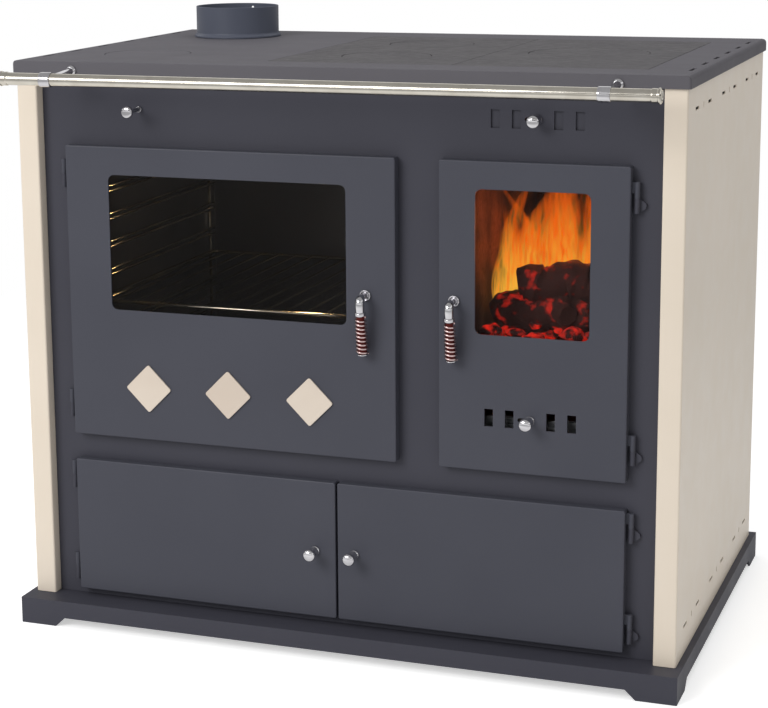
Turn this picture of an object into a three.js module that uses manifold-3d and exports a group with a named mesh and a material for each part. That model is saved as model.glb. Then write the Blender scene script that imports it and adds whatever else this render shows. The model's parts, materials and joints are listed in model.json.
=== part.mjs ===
// Free-standing wood cookstove: an oven and a firebox side by side over a fuel store, under an iron hob.
// Millimetres. +X is to the right of someone facing the doors, -Y is the front, +Z is up, the floor is Z 0.
import * as THREE from "three";
import { mergeVertices } from "three/addons/utils/BufferGeometryUtils.js";
import Module from "manifold-3d";

const wasm = await Module();
wasm.setup();

// ---------------------------------------------------------------- overall sizes
const TOP_WIDTH = 990;
const TOP_DEPTH = 624;
const HEIGHT = 850; // floor to cooking surface
const GAP = 0.3; // between pieces that touch
const PAST = 1; // a cutting tool reaches this far past the face it opens
const FUSE = 0.5; // a rib or lug sinks this far into the sheet it is welded to
const SHEET = 2; // outer casing and oven sheet
const PANEL = 3; // front panel, deck and plinth sheet
const DOOR_SHEET = 3;

// ---------------------------------------------------------------- top frame and hob
const TOP_SHEET = 4;
const TOP_FORWARD = 2; // the top's middle in front of the casing's
const TOP_CORNER = 4;
const LIP_HEIGHT = 18;
const LIP_SHEET = 3.5;
const TOP_SIDE_BEND = 7;
const TOP_FRONT_BEND = 2;
const HOB_LEFT_MARGIN = 371; // from the left edge: room for the flue collar
const HOB_RIGHT_MARGIN = 71;
const HOB_FRONT_MARGIN = 71;
const HOB_BACK_MARGIN = 84;
const HOB_CLEARANCE = 1; // round each iron plate
const HOB_PLATE = 8;
const HOB_CORNER = 4;
const HOB_LEDGE = 12;
const HOB_LEDGE_SHEET = 4;
const RING_LARGE = 89;
const RING_SMALL = 66;
const RING_REBATE = 8;
const RING_REBATE_DEPTH = 4;
const RING_CLEARANCE = 0.9;
const RING_BOSS = 3.4; // a cover's boss under its rim
const RING_CHAMFER = 0.6;
const RING_SUNK = 0.2; // a cover's face below the cooking surface
const RING_RIGHT_BACK = 3; // the large ring behind the middle of its plate
const RING_INSET = 8.5; // the two small rings stand closer than the quarter points
const INSPECTION_RADIUS = 65;
const INSPECTION_FROM_FRONT = 154;
const INSPECTION_LEDGE = { width: 10, sheet: 3 };
const EDGE_SLOT = { length: 38, width: 5, pitch: 90.7, count: 6, inset: 15, shift: 1 };

// ---------------------------------------------------------------- flue and damper
const FLUE_RADIUS = 67.5; // outside
const FLUE_WALL = 2.5;
const FLUE_HEIGHT = 50;
const FLUE_SPIGOT = 10; // below the cooking surface
const FLUE_BEAD = 3.5;
const FLUE_SCREW = { radius: 2.4, drop: 7 };
const FLUE_HOLE_CLEARANCE = 1;
const DUCT_WALL = 2;
const DUCT_MARGIN = 12;
const DUCT_SIDE_SPACE = 7.5; // from the inner side to the duct's runner
const DUCT_BACK_SPACE = 37.2; // from the back panel to the duct
const DUCT_RUNNER = { lap: 4, wall: 3, ledge: 9, sheet: 2 };
const DAMPER_HEIGHT = 68.5; // axis below the cooking surface
const DAMPER_ROD = 3; // radius
const DAMPER_REACH = 45; // knob's face in front of the panel at rest
const DAMPER_PLATE = 3;
const DAMPER_LUG = { half: 9, drop: 7, length: 6 };
const DAMPER_KNOB_FROM_LEFT = 192;
const DAMPER_KNOB_LENGTH = 19;
const DAMPER_HEAD = 9; // radius
const DAMPER_BUSH = 4.6; // radius
const DAMPER_BUSH_LIP = 0.5;
const DAMPER_IN = 20; // pushed in from rest until it shuts the flue
const DAMPER_PULL = 70; // drawn out from rest until the flue is clear

// ---------------------------------------------------------------- plinth
const PLINTH_HEIGHT = 40;
const PLINTH_SIDE_LEDGE = 5; // past the top, each side
const PLINTH_FRONT_LEDGE = 29;
const PLINTH_BACK_LEDGE = 13;
const FOOT_LENGTH = 57;
const FOOT_SLOPE = 15;
const FOOT_CUT = 14;
const FOOT_PAD_INSET = 2;

// ---------------------------------------------------------------- casing
const CASING_INSET = 4; // side panel behind the edge of the top
const CASING_LIP_GAP = 0.5; // back of the casing to the lip
const FLANGE = 32; // width of the side panel's front flange
const FLANGE_SET_BACK = 4.2; // behind the lip of the top
const DOOR_STAND = 16; // door face in front of the front panel
const DOOR_SET_BACK = 1.8; // door face behind the flange face
const RETURN_LAP = 5; // the flange's return passes the front panel by this
const BACK_FLANGE = 20;
const BEND = 3;
const INNER_SIDE_GAP = 49; // air space between the casing and the inner side
const SLOT_LONG = 24;
const SLOT_HIGH = 4;
const SLOT_SPACING = 46;
const SLOT_GROUP_PITCH = 200;
const SLOT_SHIFT = 2;
const SLOT_ROW = 49; // slot rows from the top surface, and over the plinth's foot line
const SLOT_ROW_LOW = 81;
const VENT = { length: 80, height: 6, pitch: 130, count: 6, row: 70, spacing: 30 }; // in the back panel

// ---------------------------------------------------------------- doors
const DOOR_MARGIN = 74; // door edge to the casing's side
const DOOR_GAP = 63; // between the oven door and the fire door
const FIRE_DOOR_WIDTH = 265;
const DOOR_TOP_BAND = 122; // from the cooking surface to the doors
const STORE_DOOR_HEIGHT = 204;
const STORE_DOOR_BASE = 12; // over the plinth
const DOOR_SPACING = 39; // between the store doors and the upper doors
const STORE_SEAM = 3;
const STORE_SEAM_SHIFT = 2;
const DOOR_BACK_GAP = 1;
const DOOR_CORNER = 3;
const DOOR_BEVEL = 1.6;
const SEAL_WIDTH = 8;
const OVEN_SEAL_SPREAD = 8; // rope's middle outside the mouth's edge
const FIRE_SEAL_SPREAD = 6;
const SEAL_RIB = 1.5;
const SEAL_RIB_HEIGHT = 8;
const SEAL_CROWN = { height: 2, inset: 1.6 };
const GLASS = 4;
const GLASS_LAP = 9;
const GLASS_FRAME = 2.5;
const GLASS_CORNER = 3;
const GLASS_FRAME_INSET = 3; // the frame's inner edge outside the window's
const LUG = { half: 6, root: 3, reach: 8, aside: 22, down: 25, stud: 2.5, offset: 4.75 };
const WINDOW_CORNER = 9;
const OVEN_WINDOW = { left: 68, right: 72.5, bottom: 193, top: 41 };
const FIRE_WINDOW = { left: 51.5, right: 53, bottom: 193, top: 38.5 };
const OVEN_MOUTH = { left: 32, right: 34, bottom: 35, top: 33 }; // inside the door's edges
const FIRE_MOUTH = { left: 15, right: 16, bottom: 16, top: 16 };
const STORE_MOUTH = { side: 26, bottom: 16, top: 14 };
const MOUTH_CORNER = 6;
const LATCH_LIP = 14; // the panel laps the oven and the firebox by this

// ---------------------------------------------------------------- hinges
const HINGE_OFFSET = 7; // axis outside the door's edge
const HINGE_RADIUS = 4;
const HINGE_PIN = 2.1;
const HINGE_TAB = 15;
const HINGE_KNUCKLE = 7;
const HINGE_BARREL = 20;
const HINGE_LEAF = 12;
const HINGE_LEAF_HIDDEN = 3.5; // the leaves on the left stay behind their barrels
const HINGE_LEAF_SHEET = 1.5;
const HINGE_LEAF_ROOT = 2;
const HINGE_LEAF_TIP = { half: 3, round: 5 };
const HINGE_TAB_SHEET = 3;
const HINGE_SET_BACK = 1; // axis behind the middle of the door's edge
const HINGE_PIN_LENGTH = 13;
const HINGE_TOP_DROP = 21; // upper doors: hinge top below the door's top
const HINGE_BOTTOM_RISE = 24;
const STORE_HINGE_TOP_DROP = 5;
const STORE_HINGE_BOTTOM_RISE = 12;

// ---------------------------------------------------------------- handles and knobs
const HANDLE_INSET_OVEN = 44; // shaft axis from the oven door's right edge
const HANDLE_INSET_FIRE = 22;
const HANDLE_DROP = 195; // shaft axis below the doors' top
const SHAFT = 4; // radius
const ROSETTE = { radius: 8.5, rim: 1.6, chamfer: 1.8, height: 3.2 };
const ELBOW_REACH = 25; // in front of the door's face
const ELBOW_DROP = 3; // below the shaft axis
const ELBOW = 5.9;
const COLLAR = 7.6;
const COLLAR_HEIGHT = 6;
const COLLAR_DROP = 16; // collar's top below the elbow's middle
const GRIP_CAP = 2.6;
const GRIP_TILT = THREE.MathUtils.degToRad(9);
const CAM = { reach: 19, half: 5, tip: 4, round: 3, sheet: 4, behind: 1 };
const COIL = { turns: 8.5, pitch: 5.8, wire: 1.5, top: 6.1, bottom: 7, lead: 3, steps: 8, sides: 5 };
const CORE_CLEARANCE = 0.35;
const KNOB_LENGTH = 30;
const KNOB_HEAD = 9.5;
const KNOB_BASE = 7.6;
const KNOB_NECK = 3.6;
const STORE_KNOB_BASE = 100; // axis over the store doors' bottom edge
const STORE_KNOB_LEFT = 33; // axis from the seam
const STORE_KNOB_RIGHT = 27;

// ---------------------------------------------------------------- air sliders
const AIR_SLOT = { width: 12.4, height: 25, inner: 29.2, outer: 58.6 }; // centres either side of the knob
const AIR_TRAVEL = 14.6;
const AIR_PLATE = 2;
const AIR_PLATE_LAP = 8;
const AIR_SHAFT = 2.5;
const AIR_GUIDE = 3;
const KNOB_RUN_CLEARANCE = 0.4;
const SECONDARY_DROP = 66; // axis below the cooking surface
const SECONDARY_FROM_RIGHT = 205.5; // axis from the casing's right side
const PRIMARY_RISE = 76.5; // axis over the fire door's bottom edge
const PRIMARY_FROM_LEFT = 130.5; // axis from the fire door's left edge

// ---------------------------------------------------------------- rail
const RAIL_RADIUS = 9;
const RAIL_END_INSET = 23.5; // each end inside the edge of the top
const RAIL_STAND = 76; // axis in front of the lip
const RAIL_DROP = 19; // axis below the cooking surface
const RAIL_CAP = 11;
const RAIL_CAP_LENGTH = 14;
const BRACKET_OUTSET = 96; // bracket from the edge of the top
const BRACKET_SLEEVE = 11;
const BRACKET_WIDTH = 17;
const BRACKET_POST = 4.5;
const BRACKET_FOOT = 8;
const BRACKET_FOOT_HEIGHT = 5;
const BRACKET_RISE = 1; // the post leaves the sleeve above the rail's axis

// ---------------------------------------------------------------- inside
const DECK_RISE = 12; // deck over the store doors' top
const STORE_FLOOR_RISE = 22;
const OVEN_SHEET = 2.5;
const OVEN_BACK_SPACE = 122;
const WIRE = 2; // radius
const WIRE_POST = 2.5;
const RUNNER_LEVELS = 7;
const RUNNER_PITCH = 42;
const RUNNER_PAIR = 8;
const RUNNER_FIRST = 101; // lowest runner over the doors' bottom edge
const RUNNER_END = 14; // wire's end to the oven's front and back
const RUNNER_POST = { inset: 12, below: 14, above: 8, bite: 1 };
const RACK_LEVEL = 2; // on the upper wire of this pair
const RACK_FRAME = 3;
const RACK_WIRES = 14;
const RACK_WIRE = 1.8; // radius
const RACK_WIRE_RISE = 1;
const RACK_BACK_SPACE = 18;
const FIRE_SHEET = 4;
const FIRE_BACK_SPACE = 166;
const FIRE_TOP_SPACE = 50;
const GAS_WAY = { top: 100, front: 40, back: 30 }; // opening from the firebox over the oven
const BRICK = 25;
const BRICK_BELOW_TOP = 110;
const FIRE_RIGHT_LIP = 7;
const FIRE_FRONT_SPACE = 8; // bricks and grate behind the firebox's front edge
const GRATE_RISE = 150; // grate over the fire doors' bottom edge
const GRATE_THICK = 12;
const GRATE_LEDGE = { width: 38, front: 4, inner: 30 };
const GRATE_SLOT = 8;
const GRATE_SLOTS = 9;
const GRATE_ROWS = 2;
const GRATE_MARGIN = 12;
const GRATE_GUARD = { height: 22, sheet: 7.5, side: 2, slope: 6, round: 6, front: 0.5 };
const ASH_PAN = { height: 56, wall: 1.5, side: 8, front: 6, back: 12, rim: 4, rimFront: 8, rimBack: 2 };
const ASH_PAN_LUG = { half: 35, sheet: 3, reach: 9, down: 15, up: 7, lip: 2 };
const DIAMOND = 36; // centre to corner
const DIAMOND_CORNER = 3;
const DIAMOND_THICK = 2.4;
const DIAMOND_PITCH = 126;
const DIAMOND_RISE = 78; // centre over the oven door's bottom edge

// ---------------------------------------------------------------- places worked out from the sizes
const TOP_X = TOP_WIDTH / 2;
const TOP_FRONT = -TOP_DEPTH / 2 - TOP_FORWARD;
const TOP_BACK = TOP_FRONT + TOP_DEPTH;
const UNDER_TOP = HEIGHT - TOP_SHEET - GAP;
const LIP_BOTTOM = HEIGHT - LIP_HEIGHT;
const CASING_X = TOP_X - CASING_INSET;
const FLANGE_Y = TOP_FRONT + FLANGE_SET_BACK;
const DOOR_FACE = FLANGE_Y + DOOR_SET_BACK;
const PANEL_Y = DOOR_FACE + DOOR_STAND; // the front panel's front side
const PANEL_BACK = PANEL_Y + PANEL;
const DOOR_BACK = PANEL_Y - DOOR_BACK_GAP;
const DOOR_IN = DOOR_FACE + DOOR_SHEET; // back of the door's face sheet
const CASING_BACK = TOP_BACK - LIP_SHEET - CASING_LIP_GAP;
const BACK_PANEL_Y = CASING_BACK - SHEET - GAP - SHEET; // its front side
const INSIDE_FRONT = PANEL_BACK + GAP;
const INSIDE_BACK = BACK_PANEL_Y - GAP;
const INNER_X = CASING_X - INNER_SIDE_GAP;
const FLOOR_TOP = PLINTH_HEIGHT + GAP;
const HOB = {
  x0: -TOP_X + HOB_LEFT_MARGIN,
  x1: TOP_X - HOB_RIGHT_MARGIN,
  y0: TOP_FRONT + HOB_FRONT_MARGIN,
  y1: TOP_BACK - HOB_BACK_MARGIN,
};
const HOB_SEAM = (HOB.x0 + HOB.x1) / 2;
const DUCT_HALF = FLUE_RADIUS + DUCT_MARGIN;
const FLUE = {
  x: -INNER_X + SHEET + DUCT_SIDE_SPACE + DUCT_RUNNER.wall + DUCT_HALF,
  y: BACK_PANEL_Y - DUCT_BACK_SPACE - DUCT_HALF,
};
const INSPECTION = { x: FLUE.x, y: TOP_FRONT + INSPECTION_FROM_FRONT, r: INSPECTION_RADIUS };
const UPPER_BOTTOM = PLINTH_HEIGHT + STORE_DOOR_BASE + STORE_DOOR_HEIGHT + DOOR_SPACING;
const UPPER_TOP = HEIGHT - DOOR_TOP_BAND;
const DOOR_X = CASING_X - DOOR_MARGIN;
const FIRE_DOOR = { x0: DOOR_X - FIRE_DOOR_WIDTH, x1: DOOR_X, z0: UPPER_BOTTOM, z1: UPPER_TOP };
const OVEN_DOOR = { x0: -DOOR_X, x1: FIRE_DOOR.x0 - DOOR_GAP, z0: UPPER_BOTTOM, z1: UPPER_TOP };
const STORE_Z0 = PLINTH_HEIGHT + STORE_DOOR_BASE;
const STORE_Z1 = STORE_Z0 + STORE_DOOR_HEIGHT;
const SEAM_X = -STORE_SEAM_SHIFT;
const STORE_LEFT = { x0: -DOOR_X, x1: SEAM_X - STORE_SEAM / 2, z0: STORE_Z0, z1: STORE_Z1 };
const STORE_RIGHT = { x0: SEAM_X + STORE_SEAM / 2, x1: DOOR_X, z0: STORE_Z0, z1: STORE_Z1 };
const HINGE_Y = (DOOR_FACE + PANEL_Y) / 2 + HINGE_SET_BACK;
const HANDLE_Z = UPPER_TOP - HANDLE_DROP;
const DECK_Z = STORE_Z1 + DECK_RISE;
const DAMPER_X = -TOP_X + DAMPER_KNOB_FROM_LEFT;
const DAMPER_Z = HEIGHT - DAMPER_HEIGHT;
const SECONDARY = { x: CASING_X - SECONDARY_FROM_RIGHT, z: HEIGHT - SECONDARY_DROP };
const PRIMARY = { x: FIRE_DOOR.x0 + PRIMARY_FROM_LEFT, z: FIRE_DOOR.z0 + PRIMARY_RISE };
const RAIL_Y = TOP_FRONT - RAIL_STAND;
const RAIL_Z = HEIGHT - RAIL_DROP;
const RAIL_X = TOP_X - RAIL_END_INSET;

/** The rectangle left when margins are taken off the sides of a door. */
function within(door, margin) {
  return {
    x0: door.x0 + margin.left,
    x1: door.x1 - margin.right,
    z0: door.z0 + margin.bottom,
    z1: door.z1 - margin.top,
  };
}
/** A rectangle grown by the same amount on every side. */
function grown(r, by) {
  return { x0: r.x0 - by, x1: r.x1 + by, z0: r.z0 - by, z1: r.z1 + by };
}
const OVEN_OPENING = within(OVEN_DOOR, OVEN_MOUTH);
const FIRE_OPENING = within(FIRE_DOOR, FIRE_MOUTH);
const OVEN_INSIDE = grown(OVEN_OPENING, LATCH_LIP);
const OVEN_BACK = CASING_BACK - OVEN_BACK_SPACE;
const STORE_OPENING = {
  x0: -DOOR_X + STORE_MOUTH.side,
  x1: DOOR_X - STORE_MOUTH.side,
  z0: STORE_Z0 + STORE_MOUTH.bottom,
  z1: STORE_Z1 - STORE_MOUTH.top,
};
const FIRE_INSIDE = {
  x0: FIRE_OPENING.x0 - LATCH_LIP,
  x1: FIRE_OPENING.x1 + FIRE_RIGHT_LIP,
  y1: CASING_BACK - FIRE_BACK_SPACE,
  z0: FIRE_OPENING.z0,
  z1: HEIGHT - FIRE_TOP_SPACE,
};
const GRATE_Z = FIRE_DOOR.z0 + GRATE_RISE;

// ---------------------------------------------------------------- finishes
const finish = (color, roughness, metalness) =>
  new THREE.MeshStandardMaterial({ color, roughness, metalness });
const FINISH = {
  anthracite: finish(0x4f5159, 0.6, 0.2),
  topPaint: finish(0x6b696d, 0.55, 0.2),
  castIron: finish(0x5f5d5c, 0.65, 0.4),
  cream: finish(0xe6dccb, 0.35, 0),
  chrome: finish(0xd8d8da, 0.15, 1),
  spring: finish(0xc9b9b6, 0.2, 1),
  steel: finish(0x8b8d90, 0.4, 0.8),
  oven: finish(0x2a2a2d, 0.45, 0.2),
  brick: finish(0xb9a98c, 0.9, 0),
  glass: finish(0x1b1d20, 0.05, 0),
  rope: finish(0x9a978f, 0.95, 0),
  black: finish(0x1d1d1f, 0.8, 0.2),
};

// ---------------------------------------------------------------- solids
/** A closed three.js geometry as a solid that can be joined and cut. */
function solidOf(geometry) {
  const bare = new THREE.BufferGeometry();
  const loose = geometry.index ? geometry.toNonIndexed() : geometry;
  bare.setAttribute("position", loose.getAttribute("position"));
  const merged = mergeVertices(bare, 1e-4);
  return new wasm.Manifold(
    new wasm.Mesh({
      numProp: 3,
      vertProperties: merged.attributes.position.array,
      triVerts: new Uint32Array(merged.index.array),
    }),
  );
}

/** A solid's surface as a flat-shaded geometry. */
function surfaceOf(solid) {
  const mesh = solid.getMesh();
  const geometry = new THREE.BufferGeometry();
  geometry.setAttribute("position", new THREE.BufferAttribute(mesh.vertProperties, 3));
  geometry.setIndex(new THREE.BufferAttribute(mesh.triVerts, 1));
  const flat = geometry.toNonIndexed();
  flat.computeVertexNormals();
  return flat;
}

const join = (...solids) => solids.flat().reduce((all, next) => all.add(next));
const cut = (solid, ...tools) => tools.flat().reduce((rest, tool) => rest.subtract(tool), solid);

/** A box from its lowest to its highest coordinate on each axis. */
function box(x0, x1, y0, y1, z0, z1) {
  const geometry = new THREE.BoxGeometry(x1 - x0, y1 - y0, z1 - z0);
  geometry.translate((x0 + x1) / 2, (y0 + y1) / 2, (z0 + z1) / 2);
  return solidOf(geometry);
}

/** An outline from its corners, each [u, v] or [u, v, fillet radius]. */
function outline(corners, steps = 3) {
  const points = [];
  corners.forEach(([u, v, radius = 0], i) => {
    const here = new THREE.Vector2(u, v);
    if (radius <= 0) {
      points.push(here);
      return;
    }
    const before = corners[(i + corners.length - 1) % corners.length];
    const after = corners[(i + 1) % corners.length];
    const back = new THREE.Vector2(before[0], before[1]).sub(here).normalize();
    const on = new THREE.Vector2(after[0], after[1]).sub(here).normalize();
    const half = Math.acos(THREE.MathUtils.clamp(back.dot(on), -1, 1)) / 2;
    const start = here.clone().addScaledVector(back, radius / Math.tan(half));
    const end = here.clone().addScaledVector(on, radius / Math.tan(half));
    const middle = back.clone().add(on).normalize();
    const centre = here.clone().addScaledVector(middle, radius / Math.sin(half));
    const from = Math.atan2(start.y - centre.y, start.x - centre.x);
    let turn = Math.atan2(end.y - centre.y, end.x - centre.x) - from;
    if (turn > Math.PI) turn -= 2 * Math.PI;
    if (turn < -Math.PI) turn += 2 * Math.PI;
    for (let k = 0; k <= steps; k += 1) {
      const angle = from + (turn * k) / steps;
      points.push(new THREE.Vector2(Math.cos(angle), Math.sin(angle)).multiplyScalar(radius).add(centre));
    }
  });
  return new THREE.Shape(points);
}

const rectangle = (u0, u1, v0, v1, radius = 0, steps = 3) =>
  outline([[u0, v0, radius], [u1, v0, radius], [u1, v1, radius], [u0, v1, radius]], steps);
const faceRect = (r, radius = 0) => rectangle(r.x0, r.x1, r.z0, r.z1, radius);

/** An outline in X and Z, extruded from the front y0 to the back y1. */
function alongY(shape, y0, y1) {
  const geometry = new THREE.ExtrudeGeometry(shape, { depth: y1 - y0, bevelEnabled: false });
  geometry.rotateX(Math.PI / 2);
  geometry.translate(0, y1, 0);
  return solidOf(geometry);
}

/** An outline in Y and Z, extruded along X. */
function alongX(shape, x0, x1) {
  const geometry = new THREE.ExtrudeGeometry(shape, { depth: x1 - x0, bevelEnabled: false });
  const turn = new THREE.Matrix4().makeBasis(
    new THREE.Vector3(0, 1, 0),
    new THREE.Vector3(0, 0, 1),
    new THREE.Vector3(1, 0, 0),
  );
  geometry.applyMatrix4(turn);
  geometry.translate(x0, 0, 0);
  return solidOf(geometry);
}

/** An outline in X and Y, extruded upwards. */
function alongZ(shape, z0, z1) {
  const geometry = new THREE.ExtrudeGeometry(shape, { depth: z1 - z0, bevelEnabled: false });
  geometry.translate(0, 0, z0);
  return solidOf(geometry);
}

/** A straight round bar between two points, each [x, y, z]. */
function bar(from, to, radius, sides = 12, endRadius = radius) {
  const a = new THREE.Vector3(...from);
  const b = new THREE.Vector3(...to);
  const along = b.clone().sub(a);
  const geometry = new THREE.CylinderGeometry(endRadius, radius, along.length(), sides);
  geometry.applyQuaternion(
    new THREE.Quaternion().setFromUnitVectors(new THREE.Vector3(0, 1, 0), along.clone().normalize()),
  );
  geometry.translate(...a.add(b).multiplyScalar(0.5).toArray());
  return solidOf(geometry);
}

/** A profile of [radius, distance] pairs turned about an axis through a point. */
function turned(profile, at, towards, sides = 24) {
  const geometry = new THREE.LatheGeometry(
    profile.map(([r, t]) => new THREE.Vector2(r, t)),
    sides,
  );
  geometry.applyQuaternion(
    new THREE.Quaternion().setFromUnitVectors(
      new THREE.Vector3(0, 1, 0),
      new THREE.Vector3(...towards).normalize(),
    ),
  );
  geometry.translate(...at);
  return solidOf(geometry);
}
const FRONTWARD = [0, -1, 0];
const UPWARD = [0, 0, 1];

const stove = new THREE.Group();

/** Adds a finished piece to the stove. */
function piece(name, solid, material) {
  const mesh = new THREE.Mesh(surfaceOf(solid), material.clone());
  mesh.name = name;
  stove.add(mesh);
}

// ---------------------------------------------------------------- plinth
function plinth() {
  const x = TOP_X + PLINTH_SIDE_LEDGE;
  const front = TOP_FRONT - PLINTH_FRONT_LEDGE;
  const back = TOP_BACK + PLINTH_BACK_LEDGE;
  const shell = cut(
    box(-x, x, front, back, 0, PLINTH_HEIGHT),
    box(-x + PANEL, x - PANEL, front + PANEL, back - PANEL, -PAST, PLINTH_HEIGHT - PANEL),
  );
  const between = (u0, u1) =>
    outline([
      [u0 + FOOT_LENGTH, -PAST],
      [u1 - FOOT_LENGTH, -PAST],
      [u1 - FOOT_LENGTH, 0],
      [u1 - FOOT_LENGTH - FOOT_SLOPE, FOOT_CUT],
      [u0 + FOOT_LENGTH + FOOT_SLOPE, FOOT_CUT],
      [u0 + FOOT_LENGTH, 0],
    ]);
  const opened = cut(
    shell,
    alongY(between(-x, x), front - PAST, back + PAST),
    alongX(between(front, back), -x - PAST, x + PAST),
  );
  const pad = FOOT_LENGTH - FOOT_PAD_INSET;
  const pads = [];
  for (const sx of [-1, 1]) {
    for (const [y, sy] of [[front, 1], [back, -1]]) {
      const corner = outline([
        [sx * x, y],
        [sx * (x - pad), y],
        [sx * x, y + sy * pad],
      ]);
      pads.push(alongZ(corner, 0, PANEL));
    }
  }
  piece("plinth", join(opened, pads), FINISH.anthracite);
}

// ---------------------------------------------------------------- casing
/** One side panel: a sheet bent into a front flange with its return, and a narrow back flange. */
function sidePanel(name, side) {
  const out = CASING_X;
  const inner = out - FLANGE;
  const profile = [
    [inner, PANEL_BACK + RETURN_LAP],
    [inner, FLANGE_Y, BEND],
    [out, FLANGE_Y, BEND],
    [out, CASING_BACK, BEND],
    [out - BACK_FLANGE, CASING_BACK],
    [out - BACK_FLANGE, CASING_BACK - SHEET],
    [out - SHEET, CASING_BACK - SHEET, BEND - SHEET],
    [out - SHEET, FLANGE_Y + SHEET, BEND - SHEET],
    [inner + SHEET, FLANGE_Y + SHEET, BEND - SHEET],
    [inner + SHEET, PANEL_BACK + RETURN_LAP],
  ].map(([x, y, r]) => [side * x, y, r]);
  const sheet = alongZ(outline(profile), FLOOR_TOP, UNDER_TOP);
  const slot = (y, z, long, high) => {
    const shape = rectangle(y - long / 2, y + long / 2, z - high / 2, z + high / 2);
    return alongX(shape, side * out - SHEET - PAST, side * out + SHEET + PAST);
  };
  const slots = [];
  for (const z of [HEIGHT - SLOT_ROW, SLOT_ROW_LOW]) {
    for (const group of [-1, 0, 1]) {
      const y = group * SLOT_GROUP_PITCH + (TOP_FRONT + TOP_BACK) / 2 + SLOT_SHIFT;
      slots.push(slot(y - SLOT_SPACING, z, SLOT_LONG, SLOT_HIGH));
      slots.push(slot(y, z, SLOT_HIGH, 2 * SLOT_HIGH));
      slots.push(slot(y + SLOT_SPACING, z, SLOT_LONG, SLOT_HIGH));
    }
  }
  piece(name, cut(sheet, slots), FINISH.cream);
}

function innerSides() {
  for (const [name, side] of [["inner_side_left", -1], ["inner_side_right", 1]]) {
    const x = [side * INNER_X, side * (INNER_X - SHEET)].sort((a, b) => a - b);
    piece(name, box(x[0], x[1], INSIDE_FRONT, INSIDE_BACK, FLOOR_TOP, UNDER_TOP), FINISH.anthracite);
  }
}

function backPanel() {
  const x = CASING_X - BEND - GAP;
  const sheet = box(-x, x, BACK_PANEL_Y, BACK_PANEL_Y + SHEET, FLOOR_TOP, UNDER_TOP);
  const vents = [];
  const half = VENT.length / 2;
  for (const z of [HEIGHT - VENT.row, HEIGHT - VENT.row - VENT.spacing, PLINTH_HEIGHT + VENT.row]) {
    for (let i = 0; i < VENT.count; i += 1) {
      const middle = (i - (VENT.count - 1) / 2) * VENT.pitch;
      const shape = rectangle(middle - half, middle + half, z - VENT.height / 2, z + VENT.height / 2);
      vents.push(alongY(shape, BACK_PANEL_Y - PAST, BACK_PANEL_Y + SHEET + PAST));
    }
  }
  piece("back_panel", cut(sheet, vents), FINISH.anthracite);
}

// ---------------------------------------------------------------- hinges
/** Heights of a door's two hinges, as the top of each hinge. */
function hingeTops(door, drop, rise) {
  const length = HINGE_TAB + HINGE_KNUCKLE + HINGE_BARREL;
  return [door.z1 - drop, door.z0 + rise + length];
}
const UPPER_HINGES = hingeTops(OVEN_DOOR, HINGE_TOP_DROP, HINGE_BOTTOM_RISE);
const STORE_HINGES = hingeTops(STORE_LEFT, STORE_HINGE_TOP_DROP, STORE_HINGE_BOTTOM_RISE);

/** The lift-off half of a hinge, on the door: a tab, and a knuckle bored for the pin. */
function hingeKnuckle(side, top) {
  const edge = DOOR_X - DOOR_SHEET / 2;
  const axis = side * (DOOR_X + HINGE_OFFSET);
  const tabX = [side * edge, axis].sort((a, b) => a - b);
  const seat = top - HINGE_TAB - HINGE_KNUCKLE;
  const y0 = HINGE_Y - HINGE_TAB_SHEET / 2;
  const tab = box(tabX[0], tabX[1], y0, y0 + HINGE_TAB_SHEET, top - HINGE_TAB, top);
  const knuckle = bar([axis, HINGE_Y, seat], [axis, HINGE_Y, top], HINGE_RADIUS, 12);
  const end = seat + HINGE_PIN_LENGTH + PAST;
  const bore = bar([axis, HINGE_Y, seat - PAST], [axis, HINGE_Y, end], HINGE_PIN + GAP, 8);
  return cut(join(tab, knuckle), bore);
}

/** The fixed half, welded to the front panel: a barrel with its pin, on a half-round leaf. */
function hingeBarrel(side, top, leaf) {
  const axis = side * (DOOR_X + HINGE_OFFSET);
  const upper = top - HINGE_TAB - HINGE_KNUCKLE - GAP;
  const lower = top - HINGE_TAB - HINGE_KNUCKLE - HINGE_BARREL;
  const barrel = bar([axis, HINGE_Y, lower], [axis, HINGE_Y, upper], HINGE_RADIUS, 10);
  const pin = bar([axis, HINGE_Y, upper - FUSE], [axis, HINGE_Y, upper + HINGE_PIN_LENGTH], HINGE_PIN, 6);
  const root = HINGE_LEAF_ROOT;
  const middle = (lower + upper) / 2;
  const { half, round } = HINGE_LEAF_TIP;
  const corner = leaf > HINGE_RADIUS ? round : 0;
  const plate = outline([
    [axis - side * root, lower],
    [axis + side * root, lower],
    [axis + side * leaf, middle - half, corner],
    [axis + side * leaf, middle + half, corner],
    [axis + side * root, upper],
    [axis - side * root, upper],
  ]);
  return join(barrel, pin, alongY(plate, HINGE_Y + HINGE_RADIUS - HINGE_LEAF_SHEET, PANEL_Y + FUSE));
}

// ---------------------------------------------------------------- air openings
/** The four upright air slots either side of a knob, moved sideways by a shift. */
function airSlots(at, shift, y0, y1) {
  return [-AIR_SLOT.outer, -AIR_SLOT.inner, AIR_SLOT.inner, AIR_SLOT.outer].map((offset) => {
    const x = at.x + offset + shift;
    const w = AIR_SLOT.width / 2;
    const h = AIR_SLOT.height / 2;
    return alongY(rectangle(x - w, x + w, at.z - h, at.z + h), y0, y1);
  });
}

/** The sideways slot that a slider's knob runs in. */
function knobRun(at, y0, y1) {
  const r = AIR_SHAFT + KNOB_RUN_CLEARANCE;
  const round = 0.98 * r; // just under half its height, so that the ends keep a short flat
  return alongY(rectangle(at.x - AIR_TRAVEL - r, at.x + r, at.z - r, at.z + r, round, 4), y0, y1);
}

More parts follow.
